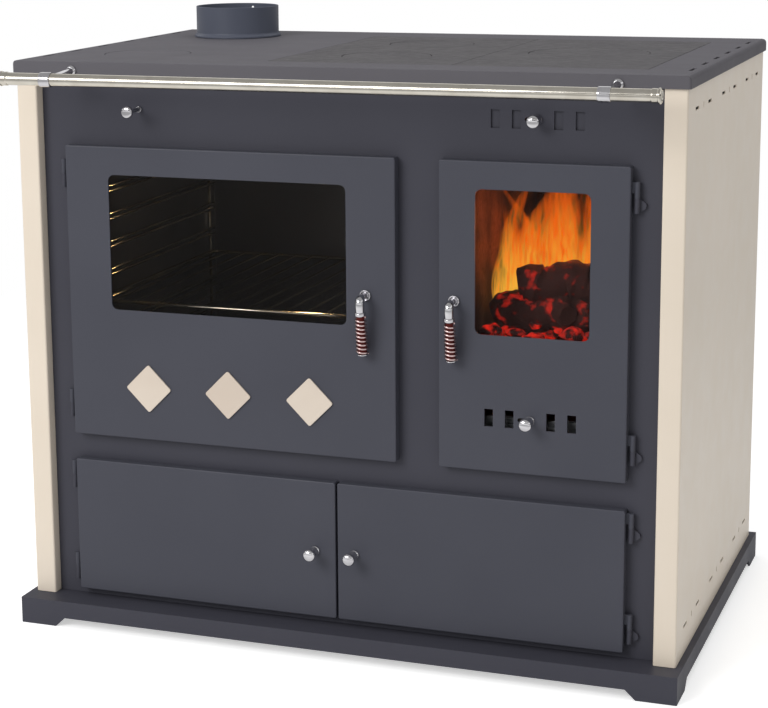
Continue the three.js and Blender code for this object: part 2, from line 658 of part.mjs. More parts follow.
const AIR_HALF = AIR_SLOT.outer + AIR_SLOT.width / 2 + AIR_TRAVEL + AIR_PLATE_LAP;
const AIR_HEIGHT = AIR_SLOT.height / 2 + AIR_PLATE_LAP;

/** Upper and lower guides that hold a slider against the back of a sheet at y. */
function airGuides(at, y) {
  const behind = y + GAP + AIR_PLATE + GAP;
  return [-1, 1].map((side) => {
    const edge = at.z + side * (AIR_HEIGHT + GAP);
    const far = edge + side * AIR_GUIDE;
    const hook = edge - side * AIR_GUIDE;
    const profile = outline([
      [y - FUSE, edge],
      [behind, edge],
      [behind, hook],
      [behind + SHEET, hook],
      [behind + SHEET, far],
      [y - FUSE, far],
    ]);
    return alongX(profile, at.x - AIR_HALF, at.x + AIR_HALF);
  });
}

/** A slotted plate behind the air slots; a shift of one travel puts its slots between them. */
function airSlider(name, at, y, shift) {
  const reach = AIR_SLOT.outer + AIR_SLOT.width / 2 + AIR_PLATE_LAP / 2;
  const shape = rectangle(at.x - reach, at.x + reach + AIR_TRAVEL, at.z - AIR_HEIGHT, at.z + AIR_HEIGHT);
  const far = y + GAP + AIR_PLATE;
  const hole = bar([at.x, y - PAST, at.z], [at.x, far + PAST, at.z], AIR_SHAFT + GAP, 12);
  const slots = airSlots(at, shift, y - PAST, far + PAST);
  piece(name, cut(alongY(shape, y + GAP, far), slots, hole), FINISH.steel);
}

/** A turned knob: flared base, waisted neck, flat head with rounded edges, and a shank behind the sheet. */
function knob(at, face, shank) {
  const profile = [
    [0, -shank],
    [AIR_SHAFT, -shank],
    [AIR_SHAFT, GAP],
    [KNOB_BASE, GAP],
    [KNOB_BASE, 2],
    [KNOB_BASE - 1.6, 4],
    [KNOB_NECK, 12],
    [KNOB_NECK + 1.2, 15.5],
    [KNOB_HEAD - 2.5, KNOB_LENGTH - 12],
    [KNOB_HEAD, KNOB_LENGTH - 5],
    [KNOB_HEAD - 0.6, KNOB_LENGTH - 2],
    [KNOB_HEAD - 2.4, KNOB_LENGTH - 0.4],
    [0, KNOB_LENGTH],
  ];
  return turned(profile, [at.x, face, at.z], FRONTWARD, 14);
}

// ---------------------------------------------------------------- front panel
function frontPanel() {
  const x = CASING_X - FLANGE - GAP;
  const sheet = alongY(rectangle(-x, x, FLOOR_TOP, UNDER_TOP), PANEL_Y, PANEL_BACK);
  const through = [PANEL_Y - PAST, PANEL_BACK + PAST];
  const mouths = [OVEN_OPENING, FIRE_OPENING, STORE_OPENING];
  const [rodFrom, rodTo] = through.map((y) => [DAMPER_X, y, DAMPER_Z]);
  const openings = [
    ...mouths.map((r) => alongY(faceRect(r, MOUTH_CORNER), ...through)),
    ...airSlots(SECONDARY, 0, ...through),
    knobRun(SECONDARY, ...through),
    bar(rodFrom, rodTo, DAMPER_BUSH - DAMPER_BUSH_LIP, 12),
  ];
  const barrels = [...UPPER_HINGES, ...STORE_HINGES].flatMap((top) => [
    hingeBarrel(-1, top, HINGE_LEAF_HIDDEN),
    hingeBarrel(1, top, HINGE_LEAF),
  ]);
  const guides = airGuides(SECONDARY, PANEL_BACK);
  piece("front_panel", join(cut(sheet, openings), barrels, guides), FINISH.anthracite);
}

// ---------------------------------------------------------------- doors
/** A folded door tray: a face sheet with its edges turned back, softened along the front. */
function doorTray(door) {
  const b = DOOR_BEVEL;
  const depth = DOOR_BACK - DOOR_FACE;
  const inset = rectangle(door.x0 + b, door.x1 - b, door.z0 + b, door.z1 - b, DOOR_CORNER - b);
  const geometry = new THREE.ExtrudeGeometry(inset, {
    depth,
    bevelEnabled: true,
    bevelSize: b,
    bevelThickness: b,
    bevelSegments: 2,
  });
  geometry.rotateX(Math.PI / 2);
  geometry.translate(0, DOOR_FACE + b + depth, 0);
  const around = grown(door, PAST);
  const behind = box(around.x0, around.x1, DOOR_BACK, DOOR_BACK + 2 * depth, around.z0, around.z1);
  const hollow = grown(door, -DOOR_SHEET);
  const inside = box(hollow.x0, hollow.x1, DOOR_IN, DOOR_BACK + PAST, hollow.z0, hollow.z1);
  return cut(solidOf(geometry), behind, inside);
}

/** A closed band round a rectangle, between two outward distances. */
function band(r, inner, outer, y0, y1, radius) {
  const shape = faceRect(grown(r, outer), radius + outer);
  shape.holes.push(faceRect(grown(r, inner), radius + inner));
  return alongY(shape, y0, y1);
}

/** The two ribs that hold the rope seal on the back of a door. */
function sealChannel(opening, spread) {
  const near = spread - SEAL_WIDTH / 2 - GAP;
  const far = spread + SEAL_WIDTH / 2 + GAP;
  const back = DOOR_IN + SEAL_RIB_HEIGHT;
  return [
    band(opening, near - SEAL_RIB, near, DOOR_IN - FUSE, back, MOUTH_CORNER),
    band(opening, far, far + SEAL_RIB, DOOR_IN - FUSE, back, MOUTH_CORNER),
  ];
}

function seal(name, opening, spread) {
  const half = SEAL_WIDTH / 2;
  const y0 = DOOR_IN + GAP;
  const y1 = PANEL_Y - GAP;
  const { height, inset } = SEAL_CROWN;
  const low = y1 - height;
  const rope = [
    band(opening, spread - half, spread + half, y0, low, MOUTH_CORNER),
    band(opening, spread - half + inset, spread + half - inset, low - FUSE, y1, MOUTH_CORNER),
  ];
  piece(name, join(rope), FINISH.rope);
}

/** Where the glass frame is screwed down: [x, z] outside the glass, and the direction in towards it. */
function lugPlaces(window) {
  const glass = grown(window, GLASS_LAP);
  const below = [window.x0 + LUG.aside, window.x1 - LUG.aside].map((x) => ({
    x,
    z: glass.z0 - LUG.offset,
    towards: [0, 1],
  }));
  const beside = [window.z0 + LUG.down, window.z1 - LUG.down].flatMap((z) => [
    { x: glass.x0 - LUG.offset, z, towards: [1, 0] },
    { x: glass.x1 + LUG.offset, z, towards: [-1, 0] },
  ]);
  return [...below, ...beside];
}

/** The pane behind a window, and the thin frame with lugs that clamps it. */
function windowPieces(prefix, window) {
  const y = DOOR_IN + GAP;
  const glass = grown(window, GLASS_LAP);
  piece(prefix + "_glass", alongY(faceRect(glass, GLASS_CORNER), y, y + GLASS), FINISH.glass);
  const front = y + GLASS + GAP;
  const back = front + GLASS_FRAME;
  const inner = GLASS_FRAME_INSET;
  const frame = band(window, inner, GLASS_LAP, front, back, WINDOW_CORNER - inner);
  const outward = LUG.reach - LUG.offset;
  const inward = LUG.offset + LUG.root;
  const lugs = lugPlaces(window).map(({ x, z, towards: [u, v] }) => {
    const a = [x - u * outward - v * LUG.half, z - v * outward - u * LUG.half];
    const b = [x + u * inward + v * LUG.half, z + v * inward + u * LUG.half];
    const [x0, x1] = [Math.min(a[0], b[0]), Math.max(a[0], b[0])];
    const [z0, z1] = [Math.min(a[1], b[1]), Math.max(a[1], b[1])];
    return box(x0, x1, front, back, z0, z1);
  });
  piece(prefix + "_glass_frame", join(frame, lugs), FINISH.black);
}

/** Studs on the door's inside that the glass frame's lugs are screwed to. */
function glassStuds(window) {
  const end = DOOR_IN + GAP + GLASS;
  return lugPlaces(window).map(({ x, z }) => bar([x, DOOR_IN - FUSE, z], [x, end, z], LUG.stud, 6));
}

/** The window and the hole for the handle's shaft, as tools that open a door's face. */
function faceOpenings(window, shaft) {
  const front = DOOR_FACE - PAST;
  const back = DOOR_IN + PAST;
  return [
    alongY(faceRect(window, WINDOW_CORNER), front, back),
    bar([shaft.x, front, shaft.z], [shaft.x, back, shaft.z], SHAFT + GAP, 16),
  ];
}

function ovenDoor() {
  const window = within(OVEN_DOOR, OVEN_WINDOW);
  const shaft = { x: OVEN_DOOR.x1 - HANDLE_INSET_OVEN, z: HANDLE_Z };
  const tray = join(
    doorTray(OVEN_DOOR),
    sealChannel(OVEN_OPENING, OVEN_SEAL_SPREAD),
    glassStuds(window),
    UPPER_HINGES.map((top) => hingeKnuckle(-1, top)),
  );
  piece("oven_door", cut(tray, faceOpenings(window, shaft)), FINISH.anthracite);
  windowPieces("oven_door", window);
  seal("oven_door_seal", OVEN_OPENING, OVEN_SEAL_SPREAD);
  const middle = (window.x0 + window.x1) / 2;
  const z = OVEN_DOOR.z0 + DIAMOND_RISE;
  for (const [name, place] of [["left", -1], ["middle", 0], ["right", 1]]) {
    const x = middle + place * DIAMOND_PITCH;
    const corners = [[-1, 0], [0, -1], [1, 0], [0, 1]].map(([u, v]) => [
      x + u * DIAMOND,
      z + v * DIAMOND,
      DIAMOND_CORNER,
    ]);
    const tile = alongY(outline(corners), DOOR_FACE - GAP - DIAMOND_THICK, DOOR_FACE - GAP);
    piece("oven_door_diamond_" + name, tile, FINISH.cream);
  }
  handle("oven", shaft, 1);
}

function fireDoor() {
  const window = within(FIRE_DOOR, FIRE_WINDOW);
  const shaft = { x: FIRE_DOOR.x0 + HANDLE_INSET_FIRE, z: HANDLE_Z };
  const tray = join(
    doorTray(FIRE_DOOR),
    sealChannel(FIRE_OPENING, FIRE_SEAL_SPREAD),
    glassStuds(window),
    airGuides(PRIMARY, DOOR_IN),
    UPPER_HINGES.map((top) => hingeKnuckle(1, top)),
  );
  const air = airSlots(PRIMARY, 0, DOOR_FACE - PAST, DOOR_IN + FUSE);
  const run = knobRun(PRIMARY, DOOR_FACE - PAST, DOOR_IN + FUSE);
  piece("fire_door", cut(tray, faceOpenings(window, shaft), air, run), FINISH.anthracite);
  windowPieces("fire_door", window);
  seal("fire_door_seal", FIRE_OPENING, FIRE_SEAL_SPREAD);
  airSlider("primary_air_slider", PRIMARY, DOOR_IN, 0);
  piece("primary_air_knob", knob(PRIMARY, DOOR_FACE, DOOR_SHEET + GAP + AIR_PLATE), FINISH.chrome);
  handle("fire", shaft, -1);
}

function storeDoors() {
  for (const [name, door, side] of [["left", STORE_LEFT, -1], ["right", STORE_RIGHT, 1]]) {
    const at = {
      x: SEAM_X + side * (side < 0 ? STORE_KNOB_LEFT : STORE_KNOB_RIGHT),
      z: STORE_Z0 + STORE_KNOB_BASE,
    };
    const hole = bar([at.x, DOOR_FACE - PAST, at.z], [at.x, DOOR_IN + PAST, at.z], AIR_SHAFT + GAP, 12);
    const knuckles = STORE_HINGES.map((top) => hingeKnuckle(side, top));
    piece("store_door_" + name, cut(join(doorTray(door), knuckles), hole), FINISH.anthracite);
    piece("store_knob_" + name, knob(at, DOOR_FACE, DOOR_SHEET), FINISH.chrome);
  }
}

// ---------------------------------------------------------------- handles
/** An unbroken tube of a few sides along points, with square ends. */
function tubeAlong(points, radius, sides) {
  const position = [];
  const index = [];
  let normal = new THREE.Vector3();
  let last = new THREE.Vector3().subVectors(points[1], points[0]).normalize();
  normal.crossVectors(last, Math.abs(last.x) < 0.9 ? new THREE.Vector3(1, 0, 0) : new THREE.Vector3(0, 1, 0));
  normal.normalize();
  points.forEach((point, i) => {
    const into = new THREE.Vector3().subVectors(point, points[Math.max(i - 1, 0)]);
    const out = new THREE.Vector3().subVectors(points[Math.min(i + 1, points.length - 1)], point);
    const tangent = into.normalize().add(out.normalize()).normalize();
    normal.applyQuaternion(new THREE.Quaternion().setFromUnitVectors(last, tangent));
    const side = new THREE.Vector3().crossVectors(tangent, normal);
    for (let k = 0; k < sides; k += 1) {
      const a = (2 * Math.PI * k) / sides;
      const ring = point.clone();
      ring.addScaledVector(normal, radius * Math.cos(a)).addScaledVector(side, radius * Math.sin(a));
      position.push(ring.x, ring.y, ring.z);
    }
    last = tangent;
  });
  for (let i = 0; i + 1 < points.length; i += 1) {
    for (let k = 0; k < sides; k += 1) {
      const a = i * sides + k;
      const b = i * sides + ((k + 1) % sides);
      index.push(a, b, a + sides, b, b + sides, a + sides);
    }
  }
  const end = (points.length - 1) * sides;
  for (let k = 1; k + 1 < sides; k += 1) {
    index.push(0, k + 1, k);
    index.push(end, end + k, end + k + 1);
  }
  const geometry = new THREE.BufferGeometry();
  geometry.setAttribute("position", new THREE.Float32BufferAttribute(position, 3));
  geometry.setIndex(index);
  return solidOf(geometry);
}

/** Points of a coil that widens downwards and leaves its two seats straight, about the Z axis. */
function coilPoints() {
  const length = COIL.turns * COIL.pitch;
  const points = [];
  const at = (turn, z) => {
    const radius = COIL.top + ((COIL.bottom - COIL.top) * turn) / COIL.turns;
    const a = 2 * Math.PI * turn;
    return new THREE.Vector3(radius * Math.cos(a), radius * Math.sin(a), z);
  };
  points.push(at(0, 0));
  points.push(at(0, -COIL.lead));
  const steps = COIL.turns * COIL.steps;
  for (let i = 1; i < steps; i += 1) {
    const turn = i / COIL.steps;
    points.push(at(turn, -COIL.lead - COIL.wire - ((length - 2 * COIL.wire) * i) / steps));
  }
  points.push(at(COIL.turns, -COIL.lead - length));
  points.push(at(COIL.turns, -COIL.lead * 2 - length));
  return points;
}
const GRIP_LENGTH = COIL.turns * COIL.pitch + 2 * COIL.lead;

/** The least gap between parts of a wound wire that are more than half a turn apart along it. */
function leastGap(points) {
  let least = Infinity;
  points.forEach((p, i) => {
    for (let j = i + COIL.steps / 2 + 1; j < points.length; j += 1) {
      least = Math.min(least, p.distanceTo(points[j]) - 2 * COIL.wire);
    }
  });
  return least;
}

/** A turning handle: latch cam and shaft through the door, elbow, and a drop grip wound with wire. */
function handle(name, shaft, side) {
  const elbowY = DOOR_FACE - ELBOW_REACH;
  const elbowZ = shaft.z - ELBOW_DROP;
  const hang = new THREE.Matrix4().makeRotationX(GRIP_TILT);
  hang.setPosition(shaft.x, elbowY, elbowZ);
  const placed = (geometry) => solidOf(geometry.applyMatrix4(hang));
  const lathe = (profile, sides) => {
    const geometry = new THREE.LatheGeometry(profile.map(([r, z]) => new THREE.Vector2(r, z)), sides);
    return placed(geometry.rotateX(Math.PI / 2));
  };
  const coilTop = -COLLAR_DROP - COLLAR_HEIGHT;
  const coilEnd = coilTop - GRIP_LENGTH - 2 * GAP;
  const inside = (radius) => radius * Math.cos(Math.PI / COIL.steps) - COIL.wire - CORE_CLEARANCE;
  const grip = lathe(
    [
      [0, coilEnd - GRIP_CAP],
      [COLLAR - 0.6, coilEnd - GRIP_CAP],
      [COLLAR + 0.4, coilEnd - GRIP_CAP + 1],
      [COLLAR + 0.4, coilEnd],
      [inside(COIL.bottom), coilEnd],
      [inside(COIL.top), coilTop],
      [COLLAR - 0.4, coilTop],
      [COLLAR, coilTop + 0.8],
      [COLLAR, coilTop + COLLAR_HEIGHT],
      [ELBOW - 0.3, coilTop + COLLAR_HEIGHT],
      [ELBOW - 0.5, -ELBOW],
      [ELBOW, 0],
      [ELBOW * 0.77, ELBOW * 0.64],
      [ELBOW * 0.4, ELBOW * 0.92],
      [0, ELBOW],
    ],
    12,
  );
  const shaftEnd = PANEL_BACK + CAM.behind + CAM.sheet + PAST;
  const shaftBar = bar([shaft.x, shaftEnd, shaft.z], [shaft.x, elbowY, shaft.z], SHAFT, 12);
  const { radius, rim, chamfer, height } = ROSETTE;
  const disc = [[0, 0], [radius, 0], [radius, rim], [radius - chamfer, height], [0, height]];
  const rosette = turned(disc, [shaft.x, DOOR_FACE - GAP, shaft.z], FRONTWARD, 16);
  const camFront = PANEL_BACK + CAM.behind;
  const cam = alongY(
    outline([
      [shaft.x - CAM.half, shaft.z - CAM.half, SHAFT],
      [shaft.x + CAM.half, shaft.z - CAM.half, SHAFT],
      [shaft.x + CAM.tip, shaft.z + CAM.reach, CAM.round],
      [shaft.x - CAM.tip, shaft.z + CAM.reach, CAM.round],
    ]),
    camFront,
    camFront + CAM.sheet,
  );
  piece(name + "_handle", join(shaftBar, rosette, grip, cam), FINISH.chrome);
  const points = coilPoints();
  console.log(name + " grip coil: least gap to itself " + leastGap(points).toFixed(2) + " mm");
  const lower = new THREE.Matrix4().makeTranslation(0, 0, coilTop - GAP);
  const wound = points.map((p) => p.clone().applyMatrix4(lower).applyMatrix4(hang));
  piece(name + "_grip_coil", tubeAlong(wound, COIL.wire, COIL.sides), FINISH.spring);
}

// ---------------------------------------------------------------- top
function topFrame() {
  const across = alongY(
    outline([
      [-TOP_X, LIP_BOTTOM],
      [TOP_X, LIP_BOTTOM],
      [TOP_X, HEIGHT, TOP_SIDE_BEND],
      [-TOP_X, HEIGHT, TOP_SIDE_BEND],
    ]),
    TOP_FRONT,
    TOP_BACK,
  );
  const along = alongX(
    outline([
      [TOP_FRONT, LIP_BOTTOM],
      [TOP_BACK, LIP_BOTTOM],
      [TOP_BACK, HEIGHT, TOP_FRONT_BEND],
      [TOP_FRONT, HEIGHT, TOP_FRONT_BEND],
    ]),
    -TOP_X,
    TOP_X,
  );
  const plan = alongZ(rectangle(-TOP_X, TOP_X, TOP_FRONT, TOP_BACK, TOP_CORNER), LIP_BOTTOM, HEIGHT);
  const blank = across.intersect(along).intersect(plan);
  const s = LIP_SHEET;
  const low = HEIGHT - TOP_SHEET;
  const hollow = box(-TOP_X + s, TOP_X - s, TOP_FRONT + s, TOP_BACK - s, LIP_BOTTOM - PAST, low);
  const through = [low - PAST, HEIGHT + PAST];
  const slots = [];
  for (const side of [-1, 1]) {
    for (let i = 0; i < EDGE_SLOT.count; i += 1) {
      const along = (i - (EDGE_SLOT.count - 1) / 2) * EDGE_SLOT.pitch;
      const y = along + (TOP_FRONT + TOP_BACK) / 2 + EDGE_SLOT.shift;
      const x = side * (TOP_X - EDGE_SLOT.inset);
      const l = EDGE_SLOT.length / 2;
      const w = EDGE_SLOT.width / 2;
      slots.push(alongZ(rectangle(x - w, x + w, y - l, y + l), ...through));
    }
  }
  const round = ({ x, y }, radius) => bar([x, y, through[0]], [x, y, through[1]], radius, 32);
  const openings = [
    alongZ(rectangle(HOB.x0, HOB.x1, HOB.y0, HOB.y1, HOB_CORNER), ...through),
    round(FLUE, FLUE_RADIUS - FLUE_BEAD + FLUE_HOLE_CLEARANCE),
    round(INSPECTION, INSPECTION_RADIUS),
  ];
  piece("top_frame", cut(blank, hollow, slots, openings), FINISH.topPaint);
}


/** The welded ledge under the hob opening, with a bar under the seam, and a ring under the round cover. */
function hobLedge() {
  const low = HEIGHT - HOB_PLATE - GAP - HOB_LEDGE_SHEET;
  const seat = low + HOB_LEDGE_SHEET;
  const l = HOB_LEDGE;
  const outer = rectangle(HOB.x0 - l, HOB.x1 + l, HOB.y0 - l, HOB.y1 + l);
  outer.holes.push(rectangle(HOB.x0 + l, HOB.x1 - l, HOB.y0 + l, HOB.y1 - l));
  const ring = alongZ(outer, low, UNDER_TOP);
  const rebate = box(HOB.x0, HOB.x1, HOB.y0, HOB.y1, seat, HEIGHT);
  const middle = box(HOB_SEAM - l, HOB_SEAM + l, HOB.y0 + FUSE, HOB.y1 - FUSE, low, seat);
  piece("hob_ledge", join(cut(ring, rebate), middle), FINISH.steel);
}

/** One iron plate of the hob with stepped seats for its round covers. */
function hobPlate(name, x0, x1, rings) {
  const c = HOB_CLEARANCE;
  const shape = rectangle(x0, x1, HOB.y0 + c, HOB.y1 - c, HOB_CORNER);
  const blank = alongZ(shape, HEIGHT - HOB_PLATE, HEIGHT);
  const step = HEIGHT - RING_REBATE_DEPTH;
  const seats = rings.map(({ x, y, r }) =>
    join(
      bar([x, y, step], [x, y, HEIGHT + PAST], r, 32),
      bar([x, y, HEIGHT - HOB_PLATE - PAST], [x, y, step + PAST], r - RING_REBATE, 32),
    ),
  );
  piece(name, cut(blank, seats), FINISH.castIron);
}

/** A round cover: a disc on a smaller boss that drops into its stepped seat. */
function roundCover(name, { x, y, r }, depth, boss, material) {
  const seat = HEIGHT - depth + GAP;
  const top = HEIGHT - RING_SUNK;
  const outer = r - RING_CLEARANCE;
  const inner = boss - RING_CLEARANCE;
  const profile = [
    [0, seat - RING_BOSS],
    [inner, seat - RING_BOSS],
    [inner, seat],
    [outer, seat],
    [outer, top - RING_CHAMFER],
    [outer - RING_CHAMFER, top],
    [0, top],
  ].map(([radius, z]) => [radius, z - HEIGHT]);
  piece(name, turned(profile, [x, y, HEIGHT], UPWARD, 32), material);
}

function hob() {
  const middleX = (HOB.x0 + HOB_SEAM) / 2;
  const rightX = (HOB_SEAM + HOB.x1) / 2;
  const centreY = (HOB.y0 + HOB.y1) / 2;
  const offset = (HOB.y1 - HOB.y0) / 4 - RING_INSET;
  const front = { x: middleX, y: centreY - offset, r: RING_SMALL };
  const back = { x: middleX, y: centreY + offset, r: RING_SMALL };
  const right = { x: rightX, y: centreY + RING_RIGHT_BACK, r: RING_LARGE };
  hobPlate("hob_plate_middle", HOB.x0 + HOB_CLEARANCE, HOB_SEAM - HOB_CLEARANCE / 2, [front, back]);
  hobPlate("hob_plate_right", HOB_SEAM + HOB_CLEARANCE / 2, HOB.x1 - HOB_CLEARANCE, [right]);
  const covers = [["ring_cover_front", front], ["ring_cover_back", back], ["ring_cover_right", right]];
  for (const [name, ring] of covers) {
    roundCover(name, ring, RING_REBATE_DEPTH, ring.r - RING_REBATE, FINISH.castIron);
  }
}

/** The round cover over the oven's cleaning opening, on a ring under the top sheet. */
function inspectionCover() {
  const ledge = TOP_SHEET + GAP;
  const inner = INSPECTION.r - RING_REBATE;
  const outer = INSPECTION.r + INSPECTION_LEDGE.width;
  const low = -ledge - INSPECTION_LEDGE.sheet;
  const section = [[inner, low], [outer, low], [outer, -ledge], [inner, -ledge], [inner, low]];
  const ring = turned(section, [INSPECTION.x, INSPECTION.y, HEIGHT], UPWARD, 32);
  piece("inspection_ring", ring, FINISH.steel);
  roundCover("inspection_cover", INSPECTION, ledge, inner, FINISH.topPaint);
}

// ---------------------------------------------------------------- flue and damper
function flueCollar() {
  const r = FLUE_RADIUS;
  const inner = r - FLUE_WALL;
  const spigot = r - FLUE_BEAD;
  const throat = spigot - FLUE_WALL;
  const profile = [
    [throat, -FLUE_SPIGOT],
    [spigot, -FLUE_SPIGOT],
    [spigot, GAP],
    [r + FLUE_BEAD, GAP],
    [r + FLUE_BEAD, GAP + 3],
    [r + 0.6, GAP + 5.5],
    [r, GAP + 8],
    [r, FLUE_HEIGHT],
    [inner, FLUE_HEIGHT],
    [inner, GAP + 6],
    [throat, GAP + 2],
    [throat, -FLUE_SPIGOT],
  ];
  const collar = turned(profile, [FLUE.x, FLUE.y, HEIGHT], UPWARD, 32);
  const screwZ = HEIGHT + FLUE_HEIGHT - FLUE_SCREW.drop;
  const screwHole = bar(
    [FLUE.x, FLUE.y + inner - PAST, screwZ],
    [FLUE.x, FLUE.y + r + PAST, screwZ],
    FLUE_SCREW.radius,
    10,
  );
  piece("flue_collar", cut(collar, screwHole), FINISH.anthracite);
}

/** The square duct under the collar, with runners for the damper plate at its foot. */
function flueDuct() {
  const { x, y } = FLUE;
  const h = DUCT_HALF;
  const i = h - DUCT_WALL;
  const low = DAMPER_Z + DAMPER_PLATE / 2 + GAP;
  const walls = rectangle(x - h, x + h, y - h, y + h);
  walls.holes.push(rectangle(x - i, x + i, y - i, y + i));
  const duct = alongZ(walls, low, UNDER_TOP);
  const runner = (side) => {
    const { lap, wall, ledge, sheet } = DUCT_RUNNER;
    const under = DAMPER_Z - DAMPER_PLATE / 2 - GAP;
    const out = x + side * h;
    const profile = outline([
      [out, low + lap],
      [out + side * wall, low + lap],
      [out + side * wall, under - sheet],
      [out - side * ledge, under - sheet],
      [out - side * ledge, under],
      [out, under],
    ]);
    return alongY(profile, y - h - DAMPER_IN - DAMPER_PULL, y + h);
  };
  piece("flue_duct", join(duct, runner(-1), runner(1)), FINISH.steel);
}

function damper() {
  const { x, y } = FLUE;
  const half = DUCT_HALF - FUSE;
  const front = y - DUCT_HALF - DAMPER_IN;
  const bottom = DAMPER_Z - DAMPER_PLATE / 2;
  const top = DAMPER_Z + DAMPER_PLATE / 2;
  const plate = box(x - half, x + half, front, y + DUCT_HALF - DAMPER_IN, bottom, top);
  const w = DAMPER_LUG.half;
  const lugFront = front - DAMPER_LUG.length;
  const lug = box(DAMPER_X - w, DAMPER_X + w, lugFront, front + FUSE, DAMPER_Z - DAMPER_LUG.drop, top);
  piece("damper_plate", join(plate, lug), FINISH.steel);
  const knobBase = PANEL_Y - DAMPER_REACH + DAMPER_KNOB_LENGTH;
  const rod = bar([DAMPER_X, knobBase, DAMPER_Z], [DAMPER_X, lugFront - GAP, DAMPER_Z], DAMPER_ROD, 10);
  piece("damper_rod", rod, FINISH.steel);
  const l = DAMPER_KNOB_LENGTH;
  const r = DAMPER_HEAD;
  const head = [
    [0, GAP],
    [r * 0.5, GAP],
    [r * 0.44, l * 0.2],
    [r * 0.6, l * 0.42],
    [r * 0.92, l * 0.58],
    [r, l * 0.72],
    [r * 0.93, l * 0.88],
    [r * 0.6, l * 0.97],
    [0, l],
  ];
  piece("damper_knob", turned(head, [DAMPER_X, knobBase, DAMPER_Z], FRONTWARD, 16), FINISH.chrome);
  const bore = DAMPER_ROD + GAP;
  const body = DAMPER_BUSH - DAMPER_BUSH_LIP - GAP;
  const bush = turned(
    [
      [bore, -PANEL],
      [body, -PANEL],
      [body, GAP],
      [DAMPER_BUSH, GAP],
      [DAMPER_BUSH, 2.6],
      [DAMPER_BUSH - 0.6, 3.4],
      [bore, 3.4],
      [bore, -PANEL],
    ],
    [DAMPER_X, PANEL_Y, DAMPER_Z],
    FRONTWARD,
    16,
  );
  piece("damper_bush", bush, FINISH.chrome);
}

// ---------------------------------------------------------------- rail
function rail() {
  const end = RAIL_X - RAIL_CAP_LENGTH / 2;
  const straight = bar([-end, RAIL_Y, RAIL_Z], [end, RAIL_Y, RAIL_Z], RAIL_RADIUS, 14);
  const cap = [
    [0, 0],
    [RAIL_CAP * 0.55, 0],
    [RAIL_CAP * 0.62, -1.4],
    [RAIL_CAP * 0.82, -1.4],
    [RAIL_CAP, 0.6],
    [RAIL_CAP, 3],
    [RAIL_CAP - 1.2, 5],
    [RAIL_CAP - 1, RAIL_CAP_LENGTH - 2],
    [RAIL_RADIUS, RAIL_CAP_LENGTH],
    [0, RAIL_CAP_LENGTH],
  ];
  const ends = [-1, 1].map((side) => turned(cap, [side * RAIL_X, RAIL_Y, RAIL_Z], [-side, 0, 0], 14));
  piece("front_rail", join(straight, ends), FINISH.chrome);
  for (const [name, side] of [["rail_bracket_left", -1], ["rail_bracket_right", 1]]) {
    const x = side * (TOP_X - BRACKET_OUTSET);
    const w = BRACKET_WIDTH / 2;
    const bore = RAIL_RADIUS + GAP;
    const sleeve = turned(
      [
        [bore, -w],
        [BRACKET_SLEEVE - 0.8, -w],
        [BRACKET_SLEEVE, -w + 1],
        [BRACKET_SLEEVE, w - 1],
        [BRACKET_SLEEVE - 0.8, w],
        [bore, w],
        [bore, -w],
      ],
      [x, RAIL_Y, RAIL_Z],
      [1, 0, 0],
      14,
    );
    const footZ = (HEIGHT + LIP_BOTTOM) / 2;
    const lip = TOP_FRONT - GAP;
    const root = RAIL_Y + (RAIL_RADIUS + BRACKET_SLEEVE) / 2;
    const post = bar([x, root, RAIL_Z + BRACKET_RISE], [x, lip - FUSE, footZ], BRACKET_POST, 10);
    const h = BRACKET_FOOT_HEIGHT;
    const flange = [[0, 0], [BRACKET_FOOT, 0], [BRACKET_FOOT, h / 2], [BRACKET_POST + 1, h], [0, h]];
    const foot = turned(flange, [x, lip, footZ], FRONTWARD, 12);
    piece(name, join(sleeve, post, foot), FINISH.chrome);
  }
}

// ---------------------------------------------------------------- fuel store and deck
function store() {
  const x = INNER_X - SHEET - GAP;
  const y0 = INSIDE_FRONT;
  const y1 = INSIDE_BACK;
  const top = PLINTH_HEIGHT + STORE_FLOOR_RISE;
  const profile = outline([
    [y0, FLOOR_TOP],
    [y0 + SHEET, FLOOR_TOP],
    [y0 + SHEET, top - SHEET],
    [y1 - SHEET, top - SHEET],
    [y1 - SHEET, FLOOR_TOP],
    [y1, FLOOR_TOP],
    [y1, top],
    [y0, top],
  ]);
  piece("store_floor", alongX(profile, -x, x), FINISH.anthracite);
  piece("deck", box(-x, x, y0, y1, DECK_Z, DECK_Z + PANEL), FINISH.anthracite);
}

